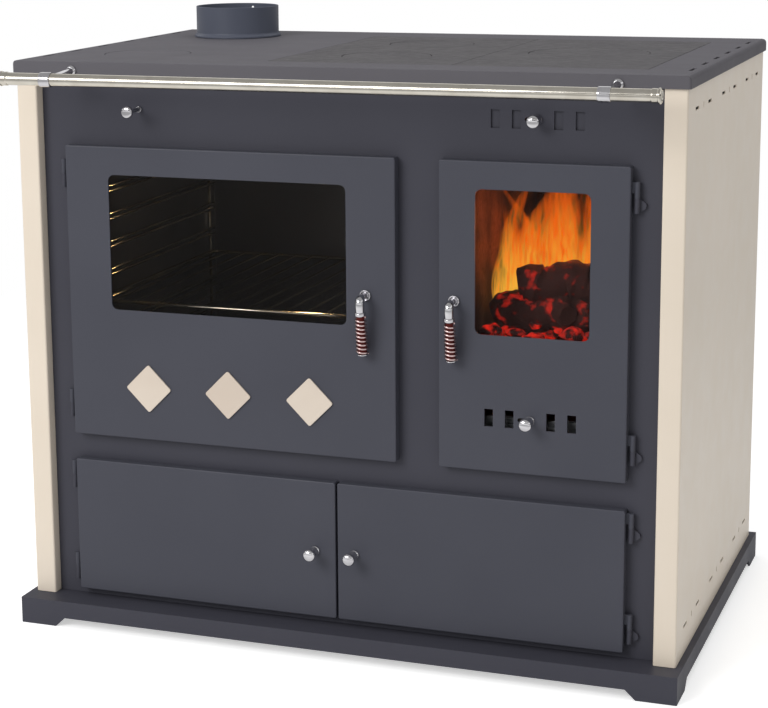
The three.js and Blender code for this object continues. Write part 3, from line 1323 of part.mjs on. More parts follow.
// ---------------------------------------------------------------- oven
function oven() {
  const r = OVEN_INSIDE;
  const o = grown(r, OVEN_SHEET);
  const shell = cut(
    box(o.x0, o.x1, INSIDE_FRONT, OVEN_BACK + OVEN_SHEET, o.z0, o.z1),
    box(r.x0, r.x1, INSIDE_FRONT - PAST, OVEN_BACK, r.z0, r.z1),
  );
  piece("oven_box", shell, FINISH.oven);
  const front = INSIDE_FRONT + RUNNER_END;
  const back = OVEN_BACK - RUNNER_END;
  const level = (k) => OVEN_DOOR.z0 + RUNNER_FIRST + k * RUNNER_PITCH;
  for (const [name, side] of [["left", -1], ["right", 1]]) {
    const wall = side < 0 ? r.x0 : r.x1;
    const postX = wall - side * (GAP + WIRE_POST);
    const wireX = postX - side * (WIRE_POST + WIRE - RUNNER_POST.bite);
    const low = level(0) - RUNNER_POST.below;
    const high = level(RUNNER_LEVELS - 1) + RUNNER_PAIR + RUNNER_POST.above;
    const posts = [front + RUNNER_POST.inset, back - RUNNER_POST.inset].map((y) =>
      bar([postX, y, low], [postX, y, high], WIRE_POST, 5),
    );
    const wires = [];
    for (let k = 0; k < RUNNER_LEVELS; k += 1) {
      for (const z of [level(k), level(k) + RUNNER_PAIR]) {
        wires.push(bar([wireX, front, z], [wireX, back, z], WIRE, 5));
      }
    }
    piece("oven_runners_" + name, join(posts, wires), FINISH.chrome);
  }
  const inset = GAP * 2 + 2 * WIRE_POST + RACK_FRAME; // the rack slides past the posts, on the wires
  const x0 = r.x0 + inset;
  const x1 = r.x1 - inset;
  const aside = inset - GAP - 2 * WIRE_POST - WIRE + RUNNER_POST.bite;
  const z = level(RACK_LEVEL) + RUNNER_PAIR + Math.sqrt((WIRE + GAP + RACK_FRAME) ** 2 - aside ** 2);
  const y1 = back - RACK_BACK_SPACE;
  const frame = [
    bar([x0, front, z], [x0, y1, z], RACK_FRAME, 6),
    bar([x1, front, z], [x1, y1, z], RACK_FRAME, 6),
    bar([x0, front, z], [x1, front, z], RACK_FRAME, 6),
    bar([x0, y1, z], [x1, y1, z], RACK_FRAME, 6),
  ];
  const grid = [];
  for (let i = 1; i <= RACK_WIRES; i += 1) {
    const x = x0 + ((x1 - x0) * i) / (RACK_WIRES + 1);
    grid.push(bar([x, front, z + RACK_WIRE_RISE], [x, y1, z + RACK_WIRE_RISE], RACK_WIRE, 5));
  }
  piece("oven_rack", join(frame, grid), FINISH.chrome);
}

// ---------------------------------------------------------------- firebox
function firebox() {
  const f = FIRE_INSIDE;
  const t = FIRE_SHEET;
  const y0 = INSIDE_FRONT;
  const gasWay = [f.x0 - t - PAST, f.x0 + PAST, y0 + GAS_WAY.front, f.y1 - GAS_WAY.back];
  const shell = cut(
    box(f.x0 - t, f.x1 + t, y0, f.y1 + t, f.z0 - t, f.z1),
    box(f.x0, f.x1, y0 - PAST, f.y1, f.z0, f.z1 + PAST),
    box(...gasWay, f.z1 - GAS_WAY.top, f.z1 + PAST),
  );
  const { width, front: ledgeFront, inner } = GRATE_LEDGE;
  const ledgeShape = rectangle(f.x0 - FUSE, f.x1 + FUSE, y0 + ledgeFront, f.y1 + FUSE);
  ledgeShape.holes.push(rectangle(f.x0 + width, f.x1 - width, y0 + inner, f.y1 - width));
  const ledge = alongZ(ledgeShape, GRATE_Z - t, GRATE_Z);
  piece("firebox_shell", join(shell, ledge), FINISH.black);
  const base = GRATE_Z + GAP;
  const wallTop = f.z1 - BRICK_BELOW_TOP;
  const front = y0 + FIRE_FRONT_SPACE;
  const back = f.y1 - GAP;
  piece("firebrick_left", box(f.x0 + GAP, f.x0 + GAP + BRICK, front, back, base, wallTop), FINISH.brick);
  piece("firebrick_right", box(f.x1 - GAP - BRICK, f.x1 - GAP, front, back, base, wallTop), FINISH.brick);
  const x0 = f.x0 + 2 * GAP + BRICK;
  const x1 = f.x1 - 2 * GAP - BRICK;
  piece("firebrick_back", box(x0, x1, back - BRICK, back, base, wallTop), FINISH.brick);
  grate(x0 + GAP, x1 - GAP, front, back - BRICK - 2 * GAP, base);
  ashPan();
}

/** The cast grate: two rows of slots, and a turned-up front that keeps the embers in. */
function grate(x0, x1, y0, y1, z) {
  const top = z + GRATE_THICK;
  const rowLength = (y1 - y0 - GRATE_MARGIN * (GRATE_ROWS + 1)) / GRATE_ROWS;
  const pitch = (x1 - x0 - 2 * GRATE_MARGIN - GRATE_SLOT) / (GRATE_SLOTS - 1);
  const slots = [];
  for (let row = 0; row < GRATE_ROWS; row += 1) {
    const from = y0 + GRATE_MARGIN + row * (rowLength + GRATE_MARGIN);
    for (let i = 0; i < GRATE_SLOTS; i += 1) {
      const left = x0 + GRATE_MARGIN + i * pitch;
      slots.push(box(left, left + GRATE_SLOT, from, from + rowLength, z - PAST, top + PAST));
    }
  }
  const bed = cut(alongZ(rectangle(x0, x1, y0, y1, HOB_CORNER), z, top), slots);
  const { height, sheet, side, slope, round, front } = GRATE_GUARD;
  const upright = outline([
    [x0 + side, z + side],
    [x1 - side, z + side],
    [x1 - side - slope, top + height, round],
    [x0 + side + slope, top + height, round],
  ]);
  const guard = alongY(upright, y0 + front, y0 + front + sheet);
  piece("grate", join(bed, guard), FINISH.castIron);
}

/** The drawer under the grate, with a turned-out rim and a lug to pull it by. */
function ashPan() {
  const { height, wall, side, rim, rimFront, rimBack } = ASH_PAN;
  const x0 = FIRE_OPENING.x0 + side;
  const x1 = FIRE_OPENING.x1 - side;
  const y0 = PANEL_BACK + ASH_PAN.front;
  const y1 = FIRE_INSIDE.y1 - ASH_PAN.back;
  const z0 = FIRE_INSIDE.z0 + GAP;
  const z1 = z0 + height;
  const inside = box(x0 + wall, x1 - wall, y0 + wall, y1 - wall, z0 + wall, z1 + PAST);
  const pan = cut(box(x0, x1, y0, y1, z0, z1), inside);
  const half = wall / 2;
  const flange = rectangle(x0 - rim, x1 + rim, y0 + rimFront, y1 + rimBack);
  flange.holes.push(rectangle(x0 + half, x1 - half, y0 + half + rimFront, y1 - half));
  const middle = (x0 + x1) / 2;
  const { sheet, reach, down, up, lip } = ASH_PAN_LUG;
  const hook = outline([
    [y0 + half, z1 - down + sheet],
    [y0 + half, z1 - down],
    [y0 - reach, z1 - down],
    [y0 - reach, z1 - up],
    [y0 - reach + lip, z1 - up],
    [y0 - reach + lip, z1 - down + sheet],
  ]);
  const lug = alongX(hook, middle - ASH_PAN_LUG.half, middle + ASH_PAN_LUG.half);
  piece("ash_pan", join(pan, alongZ(flange, z1 - wall, z1), lug), FINISH.steel);
}

// ---------------------------------------------------------------- assembly
plinth();
sidePanel("side_panel_left", -1);
sidePanel("side_panel_right", 1);
innerSides();
backPanel();
frontPanel();
store();
oven();
firebox();
topFrame();
hobLedge();
hob();
inspectionCover();
flueCollar();
flueDuct();
damper();
rail();
airSlider("secondary_air_slider", SECONDARY, PANEL_BACK, AIR_TRAVEL);
piece("secondary_air_knob", knob(SECONDARY, PANEL_Y, PANEL + GAP + AIR_PLATE), FINISH.chrome);
ovenDoor();
fireDoor();
storeDoors();

// The origin is on the floor under the middle of the stove, rail and plinth ledge included.
const reachFront = RAIL_Y - RAIL_CAP;
const reachBack = TOP_BACK + PLINTH_BACK_LEDGE;
stove.position.y = -(reachFront + reachBack) / 2;

export default stove;
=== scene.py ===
"""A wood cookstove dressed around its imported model: finishes, fine fittings, fire and studio."""

import json
import logging
import math
import random
from dataclasses import dataclass
from enum import Enum

import bmesh
import bpy
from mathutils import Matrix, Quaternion, Vector


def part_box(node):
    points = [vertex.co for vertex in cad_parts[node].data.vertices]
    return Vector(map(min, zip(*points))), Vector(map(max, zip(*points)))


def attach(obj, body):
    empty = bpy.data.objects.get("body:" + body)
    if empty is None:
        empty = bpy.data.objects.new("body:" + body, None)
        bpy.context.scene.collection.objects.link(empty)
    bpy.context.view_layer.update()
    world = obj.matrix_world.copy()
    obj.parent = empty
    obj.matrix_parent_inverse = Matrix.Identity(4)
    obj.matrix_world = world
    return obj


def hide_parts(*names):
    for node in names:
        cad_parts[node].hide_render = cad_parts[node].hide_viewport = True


logging.basicConfig(level=logging.INFO, format="%(message)s")
LOG = logging.getLogger("cookstove")

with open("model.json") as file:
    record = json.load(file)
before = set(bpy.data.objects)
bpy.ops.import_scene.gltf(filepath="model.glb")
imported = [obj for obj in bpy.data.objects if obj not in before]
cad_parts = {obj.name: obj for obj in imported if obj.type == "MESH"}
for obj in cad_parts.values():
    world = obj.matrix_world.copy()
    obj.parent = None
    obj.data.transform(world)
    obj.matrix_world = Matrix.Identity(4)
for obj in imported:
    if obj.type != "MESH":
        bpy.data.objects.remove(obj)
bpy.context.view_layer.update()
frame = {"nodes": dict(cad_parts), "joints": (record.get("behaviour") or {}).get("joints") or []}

MM = 0.001
FRONTWARD = Vector((0, -1, 0))
UPWARD = Vector((0, 0, 1))
SIDEWARD = Vector((1, 0, 0))
Point = tuple[float, float]
Place = tuple[float, float, float]
Colour = tuple[float, float, float, float]
Socket = bpy.types.NodeSocket


class Slot(Enum):
    """The record's material slots."""

    CASING = "casing"
    DOORS = "doors"
    SIDE_ENAMEL = "side_enamel"
    DIAMONDS = "diamonds"
    TOP_PAINT_WITH_PAINTED_SHEEN = "top_paint"
    HOB_IRON = "hob_iron"
    OVEN_ENAMEL = "oven_enamel"
    OVEN_WIRE = "oven_wire"
    FIRE_STEEL = "fire_steel"
    PLAIN_STEEL = "plain_steel"
    FIREBRICK = "firebrick"
    BRIGHT = "bright_fittings"
    SPRING_WIRE = "spring_wire"
    GLASS = "window_glass"
    ROPE = "rope_seal"


def paint(red: int, green: int, blue: int) -> Colour:
    """Turn a screen colour into the linear colour that a shader takes.

    Args:
        red: Red from 0 to 255.
        green: Green from 0 to 255.
        blue: Blue from 0 to 255.

    Returns:
        The linear colour with full alpha.
    """
    def linear(level: int) -> float:
        """Undo the screen's curve for one channel."""
        share = level / 255
        return share / 12.92 if share <= 0.04045 else ((share + 0.055) / 1.055) ** 2.4

    return linear(red), linear(green), linear(blue), 1.0


# ---------------------------------------------------------------- materials
class Wiring:
    """A new material and a short way to wire its nodes."""

    def __init__(self, name: str) -> None:
        """Start an empty material.

        Args:
            name: The material's name.
        """
        self.material = bpy.data.materials.new(name)
        self.material.use_nodes = True
        self.tree = self.material.node_tree
        self.tree.nodes.clear()
        self.output = self.add("ShaderNodeOutputMaterial")
        self.place = self.add("ShaderNodeTexCoord").outputs["Object"]

    def add(self, kind: str, inputs: dict | None = None, **settings: object) -> bpy.types.Node:
        """Add a node, set its properties, and link or set its inputs.

        Args:
            kind: The node's type.
            inputs: Input names or numbers, each with a value or another node's socket.
            **settings: Properties of the node.

        Returns:
            The new node.
        """
        node = self.tree.nodes.new(kind)
        for key, value in settings.items():
            setattr(node, key, value)
        for key, value in (inputs or {}).items():
            if isinstance(value, bpy.types.NodeSocket):
                self.tree.links.new(value, node.inputs[key])
            else:
                node.inputs[key].default_value = value
        return node

    def stretched(self, scale: Place) -> Socket:
        """Give the object's own coordinates, scaled on each axis."""
        return self.add("ShaderNodeMapping", {"Vector": self.place, "Scale": scale}).outputs[0]

    def noise(self, scale: float, detail: float = 3, vector: Socket | None = None) -> Socket:
        """Give a noise value whose grain is about one metre over the scale."""
        inputs = {"Vector": vector or self.place, "Scale": scale, "Detail": detail}
        return self.add("ShaderNodeTexNoise", inputs).outputs[0]

    def span(self, value: Socket, low: Point, high: Point) -> Socket:
        """Map a value from one range to another.

        Args:
            value: The value's socket.
            low: The lowest value and what it becomes.
            high: The highest value and what it becomes.

        Returns:
            The mapped value's socket.
        """
        inputs = {"Value": value, "From Min": low[0], "To Min": low[1]}
        inputs |= {"From Max": high[0], "To Max": high[1]}
        return self.add("ShaderNodeMapRange", inputs).outputs[0]

    def blend(self, share: Socket, first: Socket | Colour, second: Socket | Colour) -> Socket:
        """Blend two colours by a share from 0 to 1."""
        node = self.add("ShaderNodeMix", {0: share, 6: first, 7: second}, data_type="RGBA")
        return node.outputs[2]

    def sum(self, first: Socket | float, second: Socket | float, operation: str = "ADD") -> Socket:
        """Join two values by an arithmetic operation."""
        return self.add("ShaderNodeMath", {0: first, 1: second}, operation=operation).outputs[0]

    def bump(self, height: Socket, depth: float, strength: float = 1.0) -> Socket:
        """Give a normal that follows a height of 0 to 1 times the depth, in metres."""
        inputs = {"Height": height, "Distance": depth, "Strength": strength}
        return self.add("ShaderNodeBump", inputs).outputs[0]

    def finish(self, shader: bpy.types.Node) -> bpy.types.Material:
        """Wire a shader to the output and return the material."""
        self.tree.links.new(shader.outputs[0], self.output.inputs["Surface"])
        return self.material


@dataclass(frozen=True)
class Finish:
    """A finish with a name; its material is made once."""

    name: str

    def material(self) -> bpy.types.Material:
        """Give the finish's material, made on first use."""
        label = self.name + "_finish"
        return bpy.data.materials.get(label) or self.make(Wiring(label))

    def make(self, wiring: Wiring) -> bpy.types.Material:
        """Wire the material's nodes."""
        raise NotImplementedError


@dataclass(frozen=True)
class HeatPaint(Finish):
    """Heat-resistant paint: matt, with a fine sandy skin and faint cloudy patches."""

    colour: Colour
    patch: Colour
    roughness: float = 0.5
    grain: float = 0.00006
    shine: float = 0.22

    def make(self, wiring: Wiring) -> bpy.types.Material:
        """Wire patches, sandy grain and worn gloss.

        Args:
            wiring: The empty material to wire.

        Returns:
            The finished material.
        """
        cloud = wiring.span(wiring.noise(5.0, 5), (0.35, 0.0), (0.7, 1.0))
        speck = wiring.noise(1400, 2)
        shade = wiring.blend(wiring.span(speck, (0.35, 0.0), (0.8, 0.35)), self.colour, self.patch)
        colour = wiring.blend(wiring.sum(cloud, 0.5, "MULTIPLY"), shade, self.patch)
        worn, dull = self.roughness - 0.06, self.roughness + 0.08
        gloss = wiring.span(wiring.noise(9.0, 4), (0.3, worn), (0.7, dull))
        skin = wiring.bump(wiring.noise(900, 3), self.grain)
        inputs = {"Base Color": colour, "Roughness": gloss, "Normal": skin}
        inputs |= {"Specular IOR Level": self.shine}
        return wiring.finish(wiring.add("ShaderNodeBsdfPrincipled", inputs))


@dataclass(frozen=True)
class CastIron(Finish):
    """Cast iron: pebbled grain, darker hollows and a few pale worn specks."""

    colour: Colour
    hollow: Colour
    speck: Colour
    grain: float = 0.00006

    def make(self, wiring: Wiring) -> bpy.types.Material:
        """Wire pebbled grain and specks.

        Args:
            wiring: The empty material to wire.

        Returns:
            The finished material.
        """
        pebble = wiring.noise(420, 4)
        cloud = wiring.span(wiring.noise(14, 5), (0.35, 0.0), (0.7, 0.6))
        base = wiring.blend(cloud, self.colour, self.hollow)
        base = wiring.blend(wiring.span(pebble, (0.3, 0.7), (0.5, 0.0)), base, self.hollow)
        base = wiring.blend(wiring.span(pebble, (0.6, 0.0), (0.8, 0.8)), base, self.speck)
        gloss = wiring.span(wiring.noise(60, 4), (0.3, 0.42), (0.7, 0.62))
        skin = wiring.bump(pebble, self.grain)
        inputs = {"Base Color": base, "Roughness": gloss, "Normal": skin, "Specular IOR Level": 0.12}
        return wiring.finish(wiring.add("ShaderNodeBsdfPrincipled", inputs))


@dataclass(frozen=True)
class Enamel(Finish):
    """Fired enamel: a glossy clear skin with a slight ripple over an even colour."""

    colour: Colour
    tint: Colour
    fleck: Colour | None = None
    coat: float = 0.6

    def make(self, wiring: Wiring) -> bpy.types.Material:
        """Wire the colour, its flecks and the rippled coat.

        Args:
            wiring: The empty material to wire.

        Returns:
            The finished material.
        """
        cloud = wiring.span(wiring.noise(7, 3), (0.35, 0.0), (0.7, 1.0))
        colour = wiring.blend(cloud, self.colour, self.tint)
        if self.fleck:
            dots = wiring.noise(900, 1)
            colour = wiring.blend(wiring.span(dots, (0.66, 0.0), (0.7, 0.8)), colour, self.fleck)
        ripple = wiring.bump(wiring.noise(70, 2), 0.00008)
        gloss = wiring.span(wiring.noise(25, 3), (0.3, 0.3), (0.7, 0.42))
        inputs = {"Base Color": colour, "Roughness": gloss, "Normal": ripple, "Coat Weight": self.coat}
        shader = wiring.add("ShaderNodeBsdfPrincipled", inputs | {"Coat Roughness": 0.08})
        return wiring.finish(shader)


@dataclass(frozen=True)
class BrightMetal(Finish):
    """Polished or drawn metal: fine lines along one axis and soft smears."""

    colour: Colour
    smear: Colour
    roughness: float
    lines: Place = (40, 900, 900)
    grain: float = 0.000004

    def make(self, wiring: Wiring) -> bpy.types.Material:
        """Wire drawn lines and smears.

        Args:
            wiring: The empty material to wire.

        Returns:
            The finished material.
        """
        drawn = wiring.noise(1.0, 3, wiring.stretched(self.lines))
        smear = wiring.span(wiring.noise(45, 4), (0.4, 0.0), (0.75, 1.0))
        colour = wiring.blend(smear, self.colour, self.smear)
        gloss = wiring.span(drawn, (0.3, self.roughness * 0.75), (0.7, self.roughness * 1.4))
        skin = wiring.bump(drawn, self.grain)
        inputs = {"Base Color": colour, "Roughness": gloss, "Normal": skin, "Metallic": 1.0}
        return wiring.finish(wiring.add("ShaderNodeBsdfPrincipled", inputs))


@dataclass(frozen=True)
class FiredClay(Finish):
    """Firebrick: porous clay, blackened by soot in patches."""

    clay: Colour
    soot: Colour

    def make(self, wiring: Wiring) -> bpy.types.Material:
        """Wire pores and soot.

        Args:
            wiring: The empty material to wire.

        Returns:
            The finished material.
        """
        pores = wiring.noise(260, 5)
        patches = wiring.span(wiring.noise(16, 5), (0.3, 0.3), (0.6, 1.0))
        colour = wiring.blend(patches, self.clay, self.soot)
        colour = wiring.blend(wiring.span(pores, (0.3, 0.8), (0.5, 0.0)), colour, self.soot)
        skin = wiring.bump(pores, 0.0006)
        gloss = wiring.span(pores, (0.3, 0.98), (0.7, 0.85))
        inputs = {"Base Color": colour, "Roughness": gloss, "Normal": skin}
        return wiring.finish(wiring.add("ShaderNodeBsdfPrincipled", inputs))


@dataclass(frozen=True)
class WindowGlass(Finish):
    """Ceramic glass: mostly clear, tinted, with a reflection that grows at a slant."""

    tint: Colour

    def make(self, wiring: Wiring) -> bpy.types.Material:
        """Wire clear and mirrored light, with faint smudges in the gloss.

        Args:
            wiring: The empty material to wire.

        Returns:
            The finished material.
        """
        clear = wiring.add("ShaderNodeBsdfTransparent", {"Color": self.tint})
        smudge = wiring.span(wiring.noise(30, 4), (0.4, 0.02), (0.8, 0.16))
        mirror = wiring.add("ShaderNodeBsdfGlossy", {"Roughness": smudge})
        slant = wiring.add("ShaderNodeFresnel", {"IOR": 1.2})
        inputs = {0: slant.outputs[0], 1: clear.outputs[0], 2: mirror.outputs[0]}
        return wiring.finish(wiring.add("ShaderNodeMixShader", inputs))


@dataclass(frozen=True)
class GlassRope(Finish):
    """Woven glass-fibre rope: pale grey strands wound on a slant, greyed by smoke."""

    colour: Colour
    shade: Colour

    def make(self, wiring: Wiring) -> bpy.types.Material:
        """Wire slanted strands and smoky patches.

        Args:
            wiring: The empty material to wire.

        Returns:
            The finished material.
        """
        slant = {"Vector": wiring.place, "Rotation": (0.6, 0.8, 0.8)}
        slanted = wiring.add("ShaderNodeMapping", slant).outputs[0]
        inputs = {"Vector": slanted, "Scale": 150, "Distortion": 1.5, "Detail": 1}
        strands = wiring.add("ShaderNodeTexWave", inputs).outputs[1]
        colour = wiring.blend(strands, self.shade, self.colour)
        smoke = wiring.span(wiring.noise(30, 3), (0.45, 0.0), (0.75, 0.7))
        colour = wiring.blend(smoke, colour, self.shade)
        inputs = {"Base Color": colour, "Roughness": 0.9, "Normal": wiring.bump(strands, 0.0006)}
        return wiring.finish(wiring.add("ShaderNodeBsdfPrincipled", inputs))


@dataclass(frozen=True)
class Glow(Finish):
    """Something burning: dark crust with light breaking through its cracks."""

    crust: Colour
    heat: Colour
    cracks: float
    strength: float
    low: float = 0.5
    high: float = 0.62

    def make(self, wiring: Wiring) -> bpy.types.Material:
        """Wire the crust and the glowing cracks.

        Args:
            wiring: The empty material to wire.

        Returns:
            The finished material.
        """
        crack = wiring.noise(self.cracks, 6)
        glow = wiring.span(crack, (self.low, 0.0), (self.high, self.strength))
        bark = wiring.bump(crack, 0.004)
        inputs = {"Base Color": self.crust, "Roughness": 0.9, "Normal": bark}
        inputs |= {"Emission Color": self.heat, "Emission Strength": glow}
        return wiring.finish(wiring.add("ShaderNodeBsdfPrincipled", inputs))


@dataclass(frozen=True)
class Flame(Finish):
    """A tongue of flame: yellow at its root, red at its tip, streaked, soft-edged and see-through."""

    root: Colour
    tip: Colour
    strength: float = 1.15

    def make(self, wiring: Wiring) -> bpy.types.Material:
        """Wire the colour by height and the streaked alpha.

        Args:
            wiring: The empty material to wire.

        Returns:
            The finished material.
        """
        rise = wiring.add("ShaderNodeAttribute", attribute_name="rise").outputs["Fac"]
        across = wiring.add("ShaderNodeAttribute", attribute_name="across").outputs["Fac"]
        streaks = wiring.noise(1.0, 5, wiring.stretched((190, 120, 26)))
        sway = wiring.span(streaks, (0.3, -0.35), (0.7, 0.35))
        share = wiring.span(wiring.sum(rise, sway), (0.05, 0.0), (0.75, 1.0))
        colour = wiring.blend(share, self.root, self.tip)
        soft = wiring.sum(1.0, wiring.sum(across, across, "MULTIPLY"), "SUBTRACT")
        foot = wiring.span(rise, (0.0, 0.0), (0.14, 1.0))
        ends = wiring.sum(foot, wiring.span(rise, (0.55, 1.0), (1.0, 0.0)), "MULTIPLY")
        torn = wiring.span(streaks, (0.36, 0.15), (0.62, 1.0))
        alpha = wiring.sum(wiring.sum(soft, ends, "MULTIPLY"), torn, "MULTIPLY")
        light = wiring.add("ShaderNodeEmission", {"Color": colour, "Strength": self.strength})
        clear = wiring.add("ShaderNodeBsdfTransparent")
        inputs = {0: alpha, 1: clear.outputs[0], 2: light.outputs[0]}
        return wiring.finish(wiring.add("ShaderNodeMixShader", inputs))


CASING_PAINT = HeatPaint("casing_paint", paint(68, 68, 77), paint(61, 61, 70))
DOOR_PAINT = HeatPaint("door_paint", paint(74, 75, 84), paint(67, 68, 77), roughness=0.46)
# The top wears the same anthracite paint as the casing; this copy is lightened to stand for the light and
# sheen that fall on the top, so its extra lightness is painted sheen, not a second paint.
TOP_PAINT_WITH_PAINTED_SHEEN = HeatPaint("top_paint", paint(100, 98, 103), paint(93, 91, 96), roughness=0.55, shine=0.08)
COLLAR_PAINT = HeatPaint("collar_paint", paint(84, 88, 101), paint(76, 80, 92), roughness=0.42)
HOB_IRON = CastIron("hob_iron", paint(92, 90, 92), paint(78, 76, 79), paint(116, 114, 114))
GRATE_IRON = CastIron("grate_iron", paint(58, 50, 46), paint(30, 26, 24), paint(92, 84, 78))
CREAM = Enamel("cream_enamel", paint(233, 220, 203), paint(230, 217, 199), coat=0.12)
DIAMOND_ENAMEL = Enamel("diamond_enamel", paint(222, 208, 192), paint(210, 194, 178))
OVEN_ENAMEL = Enamel("oven_enamel", paint(46, 46, 50), paint(34, 34, 38), paint(120, 120, 126), 0.4)
RAIL_STEEL = BrightMetal("rail_steel", paint(214, 209, 198), paint(200, 194, 182), 0.1, (25, 1200, 1200))
CHROME = BrightMetal("chrome", paint(214, 213, 216), paint(196, 194, 198), 0.07, (300, 300, 300))
SPRING = BrightMetal("spring_wire", paint(222, 196, 194), paint(196, 168, 166), 0.16, (300, 300, 900))
OVEN_WIRE = BrightMetal("oven_wire", paint(226, 216, 196), paint(208, 190, 158), 0.16, (300, 300, 300))
MILL_STEEL = BrightMetal("mill_steel", paint(176, 178, 182), paint(154, 156, 160), 0.34, (30, 30, 500))
SLIDER_PAINT = HeatPaint("slider_paint", paint(70, 70, 79), paint(64, 64, 73), roughness=0.4)
FIRE_PAINT = HeatPaint("fire_paint", paint(44, 40, 38), paint(26, 24, 24), roughness=0.7)
BRICK = FiredClay("firebrick", paint(128, 92, 66), paint(46, 30, 24))
CLEAR_GLASS = WindowGlass("window_glass", (0.93, 0.91, 0.88, 1.0))
OVEN_GLASS = WindowGlass("oven_glass", (0.86, 0.86, 0.87, 1.0))
GRIP_RED = HeatPaint("grip_red", paint(96, 22, 16), paint(62, 12, 10), roughness=0.5)
EMBER = Glow("ember", paint(60, 14, 14), paint(204, 30, 14), 70, 1.1, 0.46, 0.66)
CHAR = Glow("charred_wood", paint(62, 26, 24), paint(200, 30, 14), 55, 0.7, 0.56, 0.7)
FLAME = Flame("flame", paint(255, 204, 70), paint(234, 98, 10))
ROPE = GlassRope("glass_rope", paint(176, 174, 166), paint(104, 102, 98))


# ---------------------------------------------------------------- shapes
def solid(name: str, vertices: list, faces: list, sharp: float = 35) -> bpy.types.Object:
    """Make a smooth-shaded object with sharp edges over an angle.

    Args:
        name: The object's name.
        vertices: Points in metres, in the model's frame.
        faces: Vertex numbers of each face.
        sharp: Edges over this many degrees stay sharp.

    Returns:
        The new object.
    """
    mesh = bpy.data.meshes.new(name)
    mesh.from_pydata(vertices, [], faces)
    form = bmesh.new()
    form.from_mesh(mesh)
    bmesh.ops.recalc_face_normals(form, faces=form.faces)
    form.to_mesh(mesh)
    form.free()
    mesh.polygons.foreach_set("use_smooth", [True] * len(mesh.polygons))
    mesh.set_sharp_from_angle(angle=math.radians(sharp))
    piece = bpy.data.objects.new(name, mesh)
    bpy.context.scene.collection.objects.link(piece)
    return piece


def eased(profile: list[Point], radius: float, steps: int = 3, closed: bool = False) -> list[Point]:
    """Round the corners of a profile.

    Args:
        profile: Points of the profile, in metres.
        radius: How far from each corner the round starts, at most half of a side.
        steps: Points of each round less one.
        closed: Whether the last point joins the first.

    Returns:
        The profile with its corners rounded; the ends of an open one stay.
    """
    count = len(profile)
    rounded = []
    for i, corner in enumerate(profile):
        if not closed and i in (0, count - 1):
            rounded.append(corner)
            continue
        here = Vector(corner)
        before = Vector(profile[i - 1]) - here
        after = Vector(profile[(i + 1) % count]) - here
        start = here + before.normalized() * min(radius, before.length / 2)
        end = here + after.normalized() * min(radius, after.length / 2)
        for k in range(steps + 1):
            t = k / steps
            rounded.append(tuple(start * (1 - t) ** 2 + here * (2 * t * (1 - t)) + end * t**2))
    return rounded


def turned(
    name: str, base: Vector, axis: Vector, profile: list[Point], sides: int = 64, closed: bool = False,
) -> bpy.types.Object:
    """Turn a profile round an axis, as on a lathe.

    Args:
        name: The object's name.
        base: The point on the axis where heights start.
        axis: The direction of the axis.
        profile: Radius and height of each point, in metres.
        sides: Faces round the axis.
        closed: Whether the profile closes on itself, clear of the axis.

    Returns:
        The turned object.
    """
    along = Vector(axis).normalized()
    aside = along.orthogonal().normalized()
    across = along.cross(aside)
    vertices, rings = [], []
    for radius, height in profile:
        middle = Vector(base) + along * height
        if radius < 1e-7:
            rings.append([len(vertices)] * sides)
            vertices.append(middle)
            continue
        rings.append(list(range(len(vertices), len(vertices) + sides)))
        for k in range(sides):
            angle = 2 * math.pi * k / sides
            vertices.append(middle + (aside * math.cos(angle) + across * math.sin(angle)) * radius)
    faces = []
    pairs = list(zip(rings, rings[1:])) + ([(rings[-1], rings[0])] if closed else [])
    for lower, upper in pairs:
        for k in range(sides):
            n = (k + 1) % sides
            corners = [lower[k], lower[n], upper[n], upper[k]]
            face = list(dict.fromkeys(corners))
            if len(face) > 2:
                faces.append(face)
    return solid(name, vertices, faces)


def tube(name: str, points: list[Vector], radius: float | list[float], sides: int = 16) -> bpy.types.Object:
    """Sweep a round section along a path, with flat ends.

    Args:
        name: The object's name.
        points: The path, in metres.
        radius: The section's radius, the same everywhere or one for each point.
        sides: Faces round the section.

    Returns:
        The tube.
    """
    count = len(points)
    radii = radius if isinstance(radius, list) else [radius] * count
    heading = (points[1] - points[0]).normalized()
    aside = heading.orthogonal().normalized()
    vertices, faces = [], []
    for i, point in enumerate(points):
        turn = (points[min(i + 1, count - 1)] - points[max(i - 1, 0)]).normalized()
        aside = (heading.rotation_difference(turn) @ aside).normalized()
        heading = turn
        across = heading.cross(aside)
        for k in range(sides):
            angle = 2 * math.pi * k / sides
            vertices.append(point + (aside * math.cos(angle) + across * math.sin(angle)) * radii[i])
    for i in range(count - 1):
        for k in range(sides):
            a = i * sides + k
            b = i * sides + (k + 1) % sides
            faces.append([a, b, b + sides, a + sides])
    faces.append(list(range(sides)))
    faces.append([(count - 1) * sides + k for k in range(sides)])
    return solid(name, vertices, faces)


def slab(name: str, outline: list[Point], front: float, back: float) -> bpy.types.Object:
    """Make a flat piece that faces the front.

    Args:
        name: The object's name.
        outline: Its outline in X and Z.
        front: Its front, in Y.
        back: Its back, in Y.

    Returns:
        The piece.
    """
    count = len(outline)
    vertices = [Vector((x, y, z)) for y in (front, back) for x, z in outline]
    faces = [list(range(count)), [count + k for k in range(count)]]
    for k in range(count):
        n = (k + 1) % count
        faces.append([k, n, n + count, k + count])
    return solid(name, vertices, faces)


